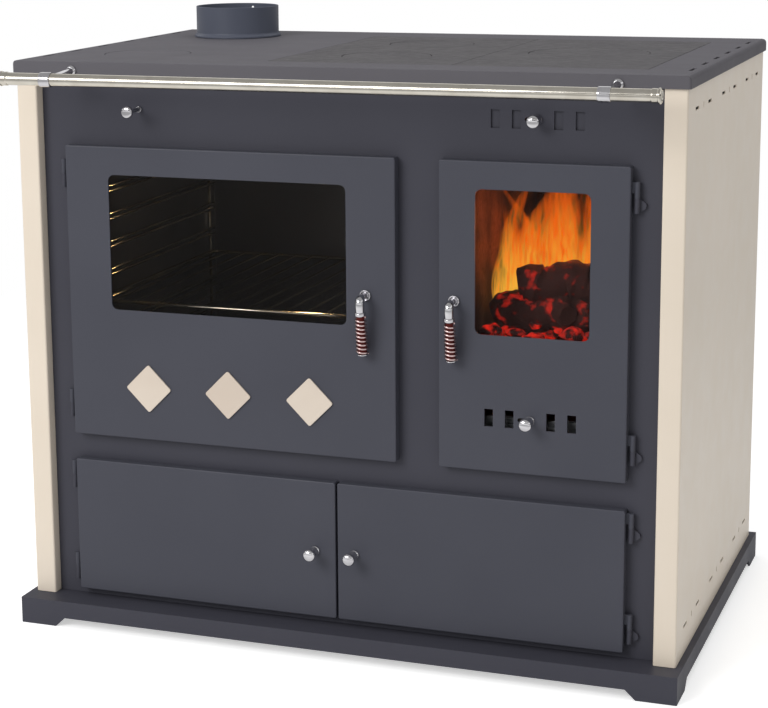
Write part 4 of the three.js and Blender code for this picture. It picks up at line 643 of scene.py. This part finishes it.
def welded(name: str, pieces: list[bpy.types.Object]) -> bpy.types.Object:
    """Join several objects into one.

    Args:
        name: The joined object's name.
        pieces: The objects, which are used up.

    Returns:
        The joined object.
    """
    form = bmesh.new()
    for piece in pieces:
        form.from_mesh(piece.data)
    mesh = bpy.data.meshes.new(name)
    form.to_mesh(mesh)
    form.free()
    for piece in pieces:
        spare = piece.data
        bpy.data.objects.remove(piece)
        bpy.data.meshes.remove(spare)
    joined = bpy.data.objects.new(name, mesh)
    bpy.context.scene.collection.objects.link(joined)
    return joined


def place(
    piece: bpy.types.Object,
    finish: Finish,
    body: str = "root",
    replaces: tuple[str, ...] = (),
) -> bpy.types.Object:
    """Give a new piece its finish and its body, and report it.

    Args:
        piece: The piece, already where it belongs.
        finish: What it is made of.
        body: The body that it moves with.
        replaces: The model's nodes that it stands for.

    Returns:
        The same piece.
    """
    piece.data.materials.clear()
    piece.data.materials.append(finish.material())
    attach(piece, body)
    if replaces:
        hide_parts(*replaces)
    LOG.info("%s rides on %s", piece.name, body)
    return piece


def smooth_shading() -> bpy.types.NodeTree:
    """Give the modifier that shades a node smooth and leaves its own mesh alone.

    Returns:
        The modifier's nodes, made on first use.
    """
    label = "smooth_shading"
    if label in bpy.data.node_groups:
        return bpy.data.node_groups[label]
    tree = bpy.data.node_groups.new(label, "GeometryNodeTree")
    tree.interface.new_socket("Geometry", in_out="INPUT", socket_type="NodeSocketGeometry")
    tree.interface.new_socket("Geometry", in_out="OUTPUT", socket_type="NodeSocketGeometry")
    start = tree.nodes.new("NodeGroupInput")
    bare = tree.nodes.new("GeometryNodeRemoveAttribute")
    bare.inputs["Name"].default_value = "custom_normal"
    smooth = tree.nodes.new("GeometryNodeSetShadeSmooth")
    smooth.inputs["Shade Smooth"].default_value = True
    end = tree.nodes.new("NodeGroupOutput")
    tree.links.new(start.outputs[0], bare.inputs["Geometry"])
    tree.links.new(bare.outputs[0], smooth.inputs["Geometry"])
    tree.links.new(smooth.outputs[0], end.inputs[0])
    return tree


def dress(node: str, finish: Finish, edge: float = 0.0005, flat: float = 40) -> None:
    """Give a node of the model its finish, smooth curves and softened edges.

    Args:
        node: The node's name.
        finish: What it is made of.
        edge: The radius of its edges, in metres, or 0 for none.
        flat: Edges over this many degrees are taken as real edges.
    """
    piece = frame["nodes"][node]
    for slot in piece.material_slots:
        slot.material = finish.material()
    piece.modifiers.new("smooth", "NODES").node_group = smooth_shading()
    weld = piece.modifiers.new("weld", "WELD")
    weld.merge_threshold = 0.00001
    if edge:
        bevel = piece.modifiers.new("edges", "BEVEL")
        bevel.width = edge
        bevel.segments = 2
        bevel.limit_method = "ANGLE"
        bevel.angle_limit = math.radians(flat)
        bevel.harden_normals = True
        bevel.use_clamp_overlap = True
        shading = piece.modifiers.new("shading", "WEIGHTED_NORMAL")
        shading.weight = 100
        shading.keep_sharp = True
    LOG.info("%s dressed in %s", node, finish.name)


def glaze(node: str, finish: Finish) -> None:
    """Give a flat pane its finish and leave its shading flat.

    Args:
        node: The node's name.
        finish: What it is made of.
    """
    for slot in frame["nodes"][node].material_slots:
        slot.material = finish.material()
    LOG.info("%s glazed with %s", node, finish.name)


# ---------------------------------------------------------------- studio
@dataclass
class Studio:
    """A pale floor, a white surround and soft lamps."""

    surround: float = 0.52
    floor_half: float = 30.0

    def build(self) -> None:
        """Build the surround, the floor and the lamps."""
        scene = bpy.context.scene
        scene.view_settings.view_transform = "Standard"
        scene.world = bpy.data.worlds.new("white_surround")
        scene.world.use_nodes = True
        tree = scene.world.node_tree
        tree.nodes.clear()
        path = tree.nodes.new("ShaderNodeLightPath")
        seen = tree.nodes.new("ShaderNodeMath")
        seen.operation = "MAXIMUM"
        tree.links.new(path.outputs["Is Camera Ray"], seen.inputs[0])
        through = tree.nodes.new("ShaderNodeMath")
        through.operation = "MAXIMUM"
        tree.links.new(path.outputs["Is Glossy Ray"], through.inputs[0])
        tree.links.new(path.outputs["Is Transmission Ray"], through.inputs[1])
        tree.links.new(through.outputs[0], seen.inputs[1])
        level = tree.nodes.new("ShaderNodeMapRange")
        level.inputs["To Min"].default_value = self.surround
        tree.links.new(seen.outputs[0], level.inputs["Value"])
        shade = tree.nodes.new("ShaderNodeBackground")
        tree.links.new(level.outputs[0], shade.inputs["Strength"])
        shade.inputs["Color"].default_value = (1, 1, 1, 1)
        out = tree.nodes.new("ShaderNodeOutputWorld")
        tree.links.new(shade.outputs[0], out.inputs["Surface"])
        self.floor()
        self.lamp("key", (-1.7, -3.4, 2.6), (0, 0, 0.5), 2.2, 92)
        self.lamp("overhead", (0.2, 0.3, 3.0), (0, 0, 0.6), 2.4, 19, mirrored=False)
        self.lamp("fill", (3.2, -1.0, 1.6), (0, 0, 0.45), 2.0, 4, mirrored=False)
        self.board("board_over", (0, -1.2, 2.8), (7, 5.5), 0, 0.42)
        self.board("board_front", (0, -4.4, 1.75), (9, 0.7), 90, 0.03)
        self.board("board_back", (0, 4.0, 1.75), (12, 1.9), 90, 0.16)
        self.board("board_left", (-4.6, -0.4, 1.2), (0.6, 6), 0, 0.05, on_side=True)
        self.board("board_right", (4.6, -0.4, 1.2), (0.8, 6), 0, 0.05, on_side=True)

    def floor(self) -> None:
        """Build the floor, which shows a soft shadow on near white."""
        half = self.floor_half
        corners = [(-half, -half, 0), (half, -half, 0), (half, half, 0), (-half, half, 0)]
        floor = solid("floor", corners, [[0, 1, 2, 3]])
        wiring = Wiring("floor_paper")
        path = wiring.add("ShaderNodeLightPath")
        mottle = wiring.span(wiring.noise(3, 2), (0.3, 0.84), (0.7, 0.87))
        matt = wiring.add("ShaderNodeBsdfDiffuse", {"Color": mottle})
        mirrored = wiring.sum(path.outputs["Is Glossy Ray"], path.outputs["Is Transmission Ray"], "MAXIMUM")
        lift = wiring.sum(path.outputs["Is Camera Ray"], wiring.sum(mirrored, 0.3, "MULTIPLY"), "MAXIMUM")
        lift = wiring.sum(lift, self.surround, "MULTIPLY")
        light = wiring.add("ShaderNodeEmission", {"Strength": lift})
        near = wiring.add("ShaderNodeAddShader", {0: matt.outputs[0], 1: light.outputs[0]})
        direct = wiring.sum(path.outputs["Is Camera Ray"], path.outputs["Is Transmission Ray"], "MAXIMUM")
        white = wiring.span(direct, (0, self.surround), (1, 1.0))
        far = wiring.add("ShaderNodeEmission", {"Strength": white})
        away = wiring.add("ShaderNodeVectorMath", {0: wiring.place}, operation="LENGTH").outputs["Value"]
        share = wiring.span(away, (1.1, 0.0), (2.6, 1.0))
        both = wiring.add("ShaderNodeMixShader", {0: share, 1: near.outputs[0], 2: far.outputs[0]})
        floor.data.materials.append(wiring.finish(both))

    def board(
        self, name: str, at: Place, size: Point, tilt: float, shade: float, on_side: bool = False,
    ) -> None:
        """Hang a grey board that only polished metal and glass mirror.

        Args:
            name: The board's name.
            at: Its middle, in metres.
            size: Its width and height, in metres.
            tilt: Its turn about X from lying flat, in degrees.
            shade: How bright it looks.
            on_side: Whether it stands across X instead.
        """
        wide, high = size[0] / 2, size[1] / 2
        corners = [(-wide, -high), (wide, -high), (wide, high), (-wide, high)]
        board = solid(name, [(x, y, 0) for x, y in corners], [[0, 1, 2, 3]])
        board.location = at
        board.rotation_euler = (0, math.radians(90), 0) if on_side else (math.radians(tilt), 0, 0)
        wiring = Wiring(name + "_cloth")
        board.data.materials.append(wiring.finish(wiring.add("ShaderNodeEmission", {"Strength": shade})))
        board.visible_camera = board.visible_diffuse = board.visible_shadow = False
        board.visible_transmission = board.visible_volume_scatter = False

    def lamp(
        self, name: str, at: Place, towards: Place, size: float, power: float, mirrored: bool = True,
    ) -> None:
        """Add a square soft lamp.

        Args:
            name: The lamp's name.
            at: Where it stands, in metres.
            towards: The point that it faces.
            size: Its side, in metres.
            power: Its power, in watts.
            mirrored: Whether polished metal mirrors it.
        """
        data = bpy.data.lights.new(name, "AREA")
        data.size = size
        data.energy = power
        lamp = bpy.data.objects.new(name, data)
        bpy.context.scene.collection.objects.link(lamp)
        lamp.location = at
        lamp.rotation_euler = (Vector(towards) - Vector(at)).to_track_quat("-Z", "Y").to_euler()
        lamp.visible_glossy = mirrored


@dataclass
class PhotoCamera:
    """The camera at the photograph's place and angle."""

    at: Place = (0.987704, -2.91819, 1.106565)
    azimuth: float = 20.606
    elevation: float = 11.298
    roll: float = -0.641
    lens: float = 96.445
    shift: Point = (0.0710, -0.0867)

    def build(self) -> None:
        """Stand the camera and make it the scene's own."""
        data = bpy.data.cameras.new("photo_camera")
        data.sensor_width = 36
        data.lens = self.lens
        data.shift_x, data.shift_y = self.shift
        camera = bpy.data.objects.new("photo_camera", data)
        bpy.context.scene.collection.objects.link(camera)
        side, rise = math.radians(self.azimuth), math.radians(self.elevation)
        back = Vector((math.sin(side) * math.cos(rise), -math.cos(side) * math.cos(rise), math.sin(rise)))
        tilt = Quaternion((0, 0, 1), math.radians(self.roll))
        camera.rotation_mode = "QUATERNION"
        camera.rotation_quaternion = (-back).to_track_quat("-Z", "Y") @ tilt
        camera.location = self.at
        bpy.context.scene.camera = camera


# ---------------------------------------------------------------- the stove
@dataclass
class Casing:
    """Plinth and sheets of the casing, which keep the model's own shape."""

    sheet_edge: float = 0.0006

    def build(self) -> None:
        """Dress the casing's sheets."""
        sheets = ("inner_side_left", "inner_side_right", "back_panel", "front_panel", "store_floor", "deck")
        for node in sheets:
            dress(node, CASING_PAINT, self.sheet_edge)
        dress("plinth", CASING_PAINT, 0.0015)
        for node in ("side_panel_left", "side_panel_right"):
            dress(node, CREAM, 0.0009)


@dataclass
class Inside:
    """What the casing hides: ledges, duct, damper and registers."""

    def build(self) -> None:
        """Dress the steel pieces inside."""
        for node in ("hob_ledge", "inspection_ring", "flue_duct", "damper_plate", "damper_rod", "ash_pan"):
            dress(node, MILL_STEEL, 0.0003)
        dress("primary_air_slider", FIRE_PAINT, 0.0002)
        dress("secondary_air_slider", SLIDER_PAINT, 0.0002)
        dress("firebox_shell", FIRE_PAINT, 0.0005)
        dress("grate", GRATE_IRON, 0.0008)
        for side in ("left", "right", "back"):
            dress("firebrick_" + side, BRICK, 0.0025)


@dataclass
class Doors:
    """Door trays with their windows, glass frames, rope seals and ornaments."""

    tray_edge: float = 0.0009
    rope_half_width: float = 4 * MM
    rope_corner: float = 12 * MM

    def build(self) -> None:
        """Dress the trays and panes and lay the ropes."""
        for node in ("oven_door", "fire_door", "store_door_left", "store_door_right"):
            dress(node, DOOR_PAINT, self.tray_edge)
        for door, glass in (("oven_door", OVEN_GLASS), ("fire_door", CLEAR_GLASS)):
            glaze(door + "_glass", glass)
            dress(door + "_glass_frame", FIRE_PAINT, 0.0004)
            self.rope(door)
        for spot in ("left", "middle", "right"):
            dress("oven_door_diamond_" + spot, DIAMOND_ENAMEL, 0.0006)

    def rope(self, door: str) -> None:
        """Lay the rope seal in the channel behind a door.

        Args:
            door: The door's name.
        """
        node = door + "_seal"
        low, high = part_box(node)
        half = self.rope_half_width
        corners = [(low.x + half, low.z + half), (high.x - half, low.z + half)]
        corners += [(high.x - half, high.z - half), (low.x + half, high.z - half)]
        ring = eased(corners, self.rope_corner, 6, closed=True)
        middle = (low.y + high.y) / 2
        rope = tube(door + "_rope", [Vector((x, middle, z)) for x, z in ring + ring[:1]], half)
        depth = (high.y - low.y) / 2 / half
        for vertex in rope.data.vertices:
            vertex.co.y = middle + (vertex.co.y - middle) * depth
        place(rope, ROPE, door + "_set", (node,))


@dataclass
class Knob:
    """A turned knob: flared foot, waisted neck and a flat head with a rounded rim."""

    node: str
    body: str
    length: float = 30 * MM
    foot: float = 7.6 * MM
    neck: float = 3.6 * MM
    shank: float = 4 * MM
    seat: float = 0.3 * MM

    def build(self) -> None:
        """Turn the knob in place of its node."""
        low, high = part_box(self.node)
        head = (high.x - low.x) / 2
        face = Vector(((low.x + high.x) / 2, low.y + self.length, (low.z + high.z) / 2))
        behind = face.y - high.y
        profile = [
            (0, behind),
            (self.shank, behind),
            (self.shank, self.seat),
            (self.foot, self.seat),
            (self.foot, 2 * MM),
            (self.foot - 1.6 * MM, 4 * MM),
            (self.neck, 11 * MM),
            (self.neck + 1.2 * MM, 15.5 * MM),
            (head - 2.4 * MM, self.length - 12 * MM),
            (head, self.length - 6.5 * MM),
            (head, self.length - 4.2 * MM),
            (head * 0.86, self.length - 2.2 * MM),
            (head * 0.6, self.length - 0.8 * MM),
            (head * 0.3, self.length - 0.2 * MM),
            (0, self.length),
        ]
        knob = turned(self.node + "_turned", face, FRONTWARD, eased(profile, 1.2 * MM))
        place(knob, CHROME, self.body, (self.node,))


@dataclass
class DamperKnob:
    """The flue damper's mushroom knob."""

    seat: float = 0.3 * MM

    def build(self) -> None:
        """Turn the knob and dress its bush."""
        low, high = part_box("damper_knob")
        head = (high.x - low.x) / 2
        base = Vector(((low.x + high.x) / 2, high.y + self.seat, (low.z + high.z) / 2))
        length = base.y - low.y
        shares = [(0.5, 0.02), (0.44, 0.2), (0.5, 0.34), (0.66, 0.46), (0.92, 0.58)]
        shares += [(1.0, 0.72), (0.93, 0.88), (0.76, 0.95), (0.4, 0.99)]
        profile = [(0, self.seat)] + [(head * r, length * h) for r, h in shares] + [(0, length)]
        knob = turned("damper_knob_turned", base, FRONTWARD, eased(profile, 1.5 * MM))
        place(knob, CHROME, "flue_damper", ("damper_knob",))
        dress("damper_bush", CHROME, 0.0003)


@dataclass
class Handle:
    """A turning handle: rosette, elbow, collar, drop grip wound with wire, and latch cam."""

    door: str
    shaft: float = 4 * MM
    reach: float = 25 * MM
    drop: float = 3 * MM
    tilt: float = math.radians(9)
    elbow: float = 6.6 * MM
    collar: float = 8.0 * MM
    collar_from: float = 16 * MM
    collar_height: float = 6 * MM
    wire: float = 1.5 * MM
    coil_top: float = 6.7 * MM
    coil_bottom: float = 8.0 * MM
    turns: float = 9.0
    pitch: float = 5.8 * MM
    lead: float = 1.55 * MM
    cap: float = 2.6 * MM
    gap: float = 0.3 * MM

    def build(self) -> None:
        """Make the handle's metal, its sleeve and its wire."""
        joint = next(j for j in frame["joints"] if j["name"] == self.door + "_handle_turn")
        self.axis = Vector(joint["pos_m"])
        self.bend = self.axis + Vector((0, -self.reach, -self.drop))
        self.down = Vector((0, math.sin(self.tilt), -math.cos(self.tilt)))
        self.coil_from = self.collar_from + self.collar_height + self.gap
        self.coil_to = self.coil_from + self.turns * self.pitch + 2 * self.lead
        parts = [self.rosette(), self.arm(), self.grip_metal(), self.cam()]
        metal = welded(self.door + "_handle_metal", parts)
        place(metal, CHROME, self.body(), (self.door + "_handle",))
        place(self.sleeve(), GRIP_RED, self.body())
        place(self.coil(), SPRING, self.body(), (self.door + "_grip_coil",))

    def body(self) -> str:
        """Name the body that the handle turns with."""
        return self.door + "_latch"

    def rosette(self) -> bpy.types.Object:
        """Turn the disc round the shaft, hollowed round its middle.

        Returns:
            The rosette.
        """
        profile = [(0, 0), (8.5, 0), (8.5, 1.6), (7.4, 3.3), (6.3, 3.1), (4.8, 0.9), (0, 0.9)]
        profile = eased([(r * MM, h * MM) for r, h in profile], 0.5 * MM)
        return turned("rosette", self.axis + FRONTWARD * self.gap, FRONTWARD, profile)

    def arm(self) -> bpy.types.Object:
        """Bend the shaft down into the grip.

        Returns:
            The bent shaft.
        """
        low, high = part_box(self.door + "_handle")
        inside = Vector((self.axis.x, high.y, self.axis.z))
        start = self.axis + FRONTWARD * (self.reach * 0.45)
        corner = Vector((self.axis.x, self.bend.y - 0.8 * MM, self.axis.z + 0.8 * MM))
        end = self.bend + self.down * (self.collar_from * 0.6)
        points, radii = [inside, self.axis], [self.shaft, self.shaft]
        for k in range(15):
            t = k / 14
            points.append(start * (1 - t) ** 2 + corner * (2 * t * (1 - t)) + end * t**2)
            radii.append(self.shaft + (self.elbow - self.shaft) * math.sin(min(1, t * 1.5) * math.pi / 2))
        points.append(self.bend + self.down * (self.collar_from + 1 * MM))
        radii.append(self.elbow - 0.4 * MM)
        return tube("arm", points, radii, 32)

    def grip_metal(self) -> bpy.types.Object:
        """Turn the collar, the core and the end cap.

        Returns:
            The turned metal of the grip.
        """
        core = self.coil_top - self.wire - 0.5 * MM
        collar_end = self.coil_from - self.gap
        profile = [
            (0, self.collar_from - 0.5 * MM),
            (self.collar - 1.2 * MM, self.collar_from),
            (self.collar, self.collar_from + 1.6 * MM),
            (self.collar, collar_end - 1.2 * MM),
            (self.collar - 0.7 * MM, collar_end),
            (core, collar_end),
            (core, self.coil_to + self.gap),
            (self.collar + 0.4 * MM, self.coil_to + self.gap),
            (self.collar + 0.4 * MM, self.coil_to + self.cap - 1 * MM),
            (self.collar - 1 * MM, self.coil_to + self.cap + self.gap),
            (0, self.coil_to + self.cap + self.gap),
        ]
        return turned("grip_metal", self.bend, self.down, eased(profile, 0.5 * MM))

    def cam(self) -> bpy.types.Object:
        """Cut the latch cam behind the panel, standing up while unlatched.

        Returns:
            The cam.
        """
        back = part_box(self.door + "_handle")[1].y
        outline = [(-5, -5), (5, -5), (4, 19), (-4, 19)]
        outline = [(self.axis.x + x * MM, self.axis.z + z * MM) for x, z in outline]
        outline = eased(outline, 3 * MM, 5, closed=True)
        return slab("cam", outline, back - 5 * MM, back - 1 * MM)

    def sleeve(self) -> bpy.types.Object:
        """Turn the dark red sleeve that shows between the turns of wire.

        Returns:
            The sleeve.
        """
        top = self.coil_top - self.wire - 0.15 * MM
        bottom = self.coil_bottom - self.wire - 0.15 * MM
        start, end = self.coil_from + self.gap, self.coil_to
        profile = [(top - 1 * MM, start), (top, start), (bottom, end), (bottom - 1 * MM, end)]
        return turned(self.door + "_grip_sleeve", self.bend, self.down, profile, closed=True)

    def coil(self) -> bpy.types.Object:
        """Wind the wire round the sleeve.

        Returns:
            The wound wire.
        """
        aside = Vector((1, 0, 0))
        across = self.down.cross(aside)
        steps = 24
        total = int(self.turns * steps)
        length = self.turns * self.pitch
        points = []
        for i in range(-2, total + 3):
            turn = min(max(i, 0), total) / steps
            radius = self.coil_top + (self.coil_bottom - self.coil_top) * turn / self.turns
            height = self.coil_from + self.lead + length * min(max(i, 0), total) / total
            height += (min(i, 0) + max(i - total, 0)) * self.lead / 2
            angle = 2 * math.pi * turn
            out = (aside * math.cos(angle) - across * math.sin(angle)) * radius
            points.append(self.bend + self.down * height + out)
        return tube(self.door + "_grip_wire", points, self.wire, 14)


@dataclass
class Rail:
    """The towel rail: a polished rod with turned end caps on two brackets."""

    rod: float = 9 * MM
    cap_length: float = 14 * MM
    sleeve: float = 11 * MM
    post: float = 4.5 * MM
    foot: float = 8 * MM
    foot_height: float = 5 * MM
    seat: float = 0.3 * MM

    def build(self) -> None:
        """Turn the rail and its brackets."""
        low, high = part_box("front_rail")
        middle = (low + high) / 2
        cap = min(high.y - low.y, high.z - low.z) / 2
        long = high.x - low.x
        outer = [(0, 1.4), (0.5, 1.2), (0.62, 0.2), (0.78, 0)]
        outer += [(1.0, 1.8), (1.0, 4.2), (0.9, 5.2), (0.93, 12)]
        half = [(cap * r, h * MM) for r, h in outer]
        half += [(self.rod + 0.2 * MM, self.cap_length), (self.rod, self.cap_length)]
        half = eased(half, 0.7 * MM)
        profile = half + [(r, long - h) for r, h in reversed(half)]
        start = Vector((low.x, middle.y, middle.z))
        rail = turned("front_rail_turned", start, SIDEWARD, profile, 96)
        place(rail, RAIL_STEEL, "root", ("front_rail",))
        for side in ("left", "right"):
            self.bracket("rail_bracket_" + side, middle)

    def bracket(self, node: str, rail: Vector) -> None:
        """Make one bracket: a sleeve round the rail, a post and a flanged foot.

        Args:
            node: The bracket's node.
            rail: A point on the rail's axis.
        """
        low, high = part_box(node)
        x = (low.x + high.x) / 2
        half = (high.x - low.x) / 2
        bore = self.rod + self.seat
        outer = min(self.sleeve, rail.y - low.y)
        ring = [(bore, -half), (outer - 0.4 * MM, -half), (outer, -half + 2 * MM), (outer, half - 2 * MM)]
        ring += [(outer - 0.4 * MM, half), (bore, half)]
        ring = eased(ring, 0.6 * MM, closed=True)
        sleeve = turned("sleeve", Vector((x, rail.y, rail.z)), SIDEWARD, ring, closed=True)
        foot_z = rail.z + (low.z + high.z - 2 * rail.z) / 2 + 2 * MM
        foot_at = Vector((x, high.y, foot_z))
        root = Vector((x, rail.y + self.rod + 1 * MM, rail.z + 1 * MM))
        count = 10
        points = [root + (foot_at - root) * (k / count) for k in range(count + 1)]
        waist = [self.post * (1 + 0.35 * (2 * k / count - 1) ** 4) for k in range(count + 1)]
        post = tube("post", points, waist, 32)
        flange = [(0, 0), (self.foot, 0), (self.foot, 2 * MM)]
        flange += [(self.post + 1 * MM, self.foot_height), (0, self.foot_height)]
        foot = turned("foot", foot_at, FRONTWARD, eased(flange, 0.8 * MM))
        bracket = welded(node + "_turned", [sleeve, post, foot])
        place(bracket, CHROME, "root", (node,))


@dataclass
class Cooktop:
    """The painted top, the iron plates with their ring covers, and the flue collar."""

    def build(self) -> None:
        """Dress the top's pieces."""
        # The top frame and the inspection cover take the lightened copy of the casing paint, whose extra
        # lightness is painted sheen.
        dress("top_frame", TOP_PAINT_WITH_PAINTED_SHEEN, 0.001)
        dress("inspection_cover", TOP_PAINT_WITH_PAINTED_SHEEN, 0.0006)
        iron = ["hob_plate_middle", "hob_plate_right"]
        iron += ["ring_cover_front", "ring_cover_back", "ring_cover_right"]
        for node in iron:
            dress(node, HOB_IRON, 0.0006)
        dress("flue_collar", COLLAR_PAINT, 0.0006)


@dataclass
class Oven:
    """The enamelled oven with its wire runners and rack, lit by a small warm lamp."""

    lamp_power: float = 1.1

    def build(self) -> None:
        """Dress the oven and hang its lamp."""
        dress("oven_box", OVEN_ENAMEL, 0.0015)
        for node in ("oven_runners_left", "oven_runners_right", "oven_rack"):
            dress(node, OVEN_WIRE, 0)
        low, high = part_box("oven_box")
        lamp = bpy.data.lights.new("oven_lamp", "POINT")
        lamp.energy = self.lamp_power
        lamp.color = (1.0, 0.72, 0.4)
        lamp.shadow_soft_size = 0.02
        hung = bpy.data.objects.new("oven_lamp", lamp)
        bpy.context.scene.collection.objects.link(hung)
        hung.location = (high.x - 0.12, low.y + 0.07, high.z - 0.03)


@dataclass
class Fire:
    """A wood fire on the grate: embers, charred logs and flames."""

    seed: int = 7
    tongues: int = 34
    lumps: int = 90
    lamp_power: float = 1.3

    def build(self) -> None:
        """Lay the embers and logs and light the flames."""
        self.chance = random.Random(self.seed)
        low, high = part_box("grate")
        self.bed = high.z - 18 * MM
        self.left, self.right = low.x + 14 * MM, high.x - 14 * MM
        self.front, self.back = low.y + 26 * MM, high.y - 40 * MM
        self.embers()
        self.logs()
        self.flames()
        lamp = bpy.data.lights.new("fire_light", "POINT")
        lamp.energy = self.lamp_power
        lamp.color = (1.0, 0.22, 0.04)
        lamp.shadow_soft_size = 0.05
        glow = bpy.data.objects.new("fire_light", lamp)
        bpy.context.scene.collection.objects.link(glow)
        glow.location = ((self.left + self.right) / 2, self.front + 0.12, self.bed + 0.13)

    def embers(self) -> None:
        """Heap lumps of glowing wood on the grate."""
        pieces = []
        for _ in range(self.lumps):
            form = bmesh.new()
            bmesh.ops.create_icosphere(form, subdivisions=2, radius=self.chance.uniform(6, 15) * MM)
            x = self.chance.uniform(self.left, self.right)
            y = self.chance.uniform(self.front, self.back)
            z = self.bed + self.chance.uniform(2, 24) * MM
            squeeze = Vector([self.chance.uniform(*span) for span in ((0.7, 1.5), (0.7, 1.3), (0.5, 0.9))])
            for vertex in form.verts:
                vertex.co *= 1 + self.chance.uniform(-0.16, 0.16)
                vertex.co = [old * share + shift for old, share, shift in zip(vertex.co, squeeze, (x, y, z))]
            mesh = bpy.data.meshes.new("lump")
            form.to_mesh(mesh)
            form.free()
            lump = bpy.data.objects.new("lump", mesh)
            bpy.context.scene.collection.objects.link(lump)
            pieces.append(lump)
        bed = welded("ember_bed", pieces)
        bed.data.polygons.foreach_set("use_smooth", [True] * len(bed.data.polygons))
        place(bed, EMBER)

    def logs(self) -> None:
        """Lay charred logs across each other."""
        middle = (self.left + self.right) / 2
        level, front = self.bed + 34 * MM, self.front

        def spot(x: float, inward: float, rise: float) -> Vector:
            """Give a point so many mm behind the bed's front and over the lowest logs."""
            return Vector((x, front + inward * MM, level + rise * MM))

        laid = [
            (spot(self.left + 4 * MM, 76, 0), spot(self.right - 24 * MM, 58, 8), 27),
            (spot(middle - 46 * MM, 60, 44), spot(self.right, 84, 50), 28),
            (spot(self.left + 10 * MM, 130, 0), spot(middle + 44 * MM, 150, 34), 25),
            (spot(middle + 34 * MM, 28, 8), spot(middle - 44 * MM, 170, 60), 19),
        ]
        for number, (start, end, thick) in enumerate(laid):
            steps = 26
            points, radii = [], []
            for k in range(steps + 1):
                sway = Vector((0, 0, 4 * MM * math.sin(k * 0.5 + number)))
                points.append(start + (end - start) * (k / steps) + sway)
                end_taper = 1 - 0.35 * abs(2 * k / steps - 1) ** 6
                radii.append(thick * MM * end_taper * (1 + self.chance.uniform(-0.06, 0.06)))
            log = tube("log_%d" % (number + 1), points, radii, 20)
            for vertex in log.data.vertices:
                vertex.co += Vector([self.chance.uniform(-1.6, 1.6) * MM for _ in range(3)])
            place(log, CHAR)

    def flames(self) -> None:
        """Raise torn tongues of flame over the logs."""
        for number in range(self.tongues):
            x = self.left + (self.right - self.left) * (0.04 + 0.92 * ((number * 0.618) % 1.0))
            y = self.front + self.chance.uniform(85, 190) * MM
            height = self.chance.uniform(0.12, 0.235)
            width = self.chance.uniform(30, 70) * MM
            lean = self.chance.uniform(-0.3, 0.25)
            phase = self.chance.uniform(0, 6)
            turn = self.chance.uniform(-0.4, 0.9)
            aside = Vector((math.cos(turn), math.sin(turn), 0))
            rows, columns = 26, 6
            vertices, faces, rises, acrosses = [], [], [], []
            for r in range(rows + 1):
                t = r / rows
                wave = 9 * MM * t * math.sin(phase + 7 * t)
                sideways = x + lean * height * t * t + wave
                centre = Vector((sideways, y + wave * 0.6, self.bed + 20 * MM + height * t))
                half = width / 2 * math.sin(math.pi * (0.16 + 0.84 * t)) ** 0.8 * (1 - t * 0.35)
                for c in range(columns + 1):
                    u = 2 * c / columns - 1
                    rises.append(t)
                    acrosses.append(abs(u))
                    bulge = aside.cross(UPWARD) * (half * 0.5 * (1 - u * u))
                    vertices.append(centre + aside * (half * u) + bulge)
            for r in range(rows):
                for c in range(columns):
                    a = r * (columns + 1) + c
                    faces.append([a, a + 1, a + columns + 2, a + columns + 1])
            tongue = solid("flame_%02d" % (number + 1), vertices, faces, 180)
            for label, values in (("rise", rises), ("across", acrosses)):
                tongue.data.attributes.new(label, "FLOAT", "POINT").data.foreach_set("value", values)
            place(tongue, FLAME)


def main() -> None:
    """Build the stove and its studio, piece by piece."""
    knobs = [
        Knob("primary_air_knob", "primary_air"),
        Knob("secondary_air_knob", "secondary_air"),
        Knob("store_knob_left", "left_store_door"),
        Knob("store_knob_right", "right_store_door"),
    ]
    stove = [Casing(), Inside(), Cooktop(), Rail(), Oven(), Doors(), Handle("oven"), Handle("fire")]
    for sub_assembly in [PhotoCamera(), Studio(), *stove, *knobs, DamperKnob(), Fire()]:
        LOG.info("building: %s", type(sub_assembly).__name__)
        sub_assembly.build()


if __name__ == "__main__":
    main()
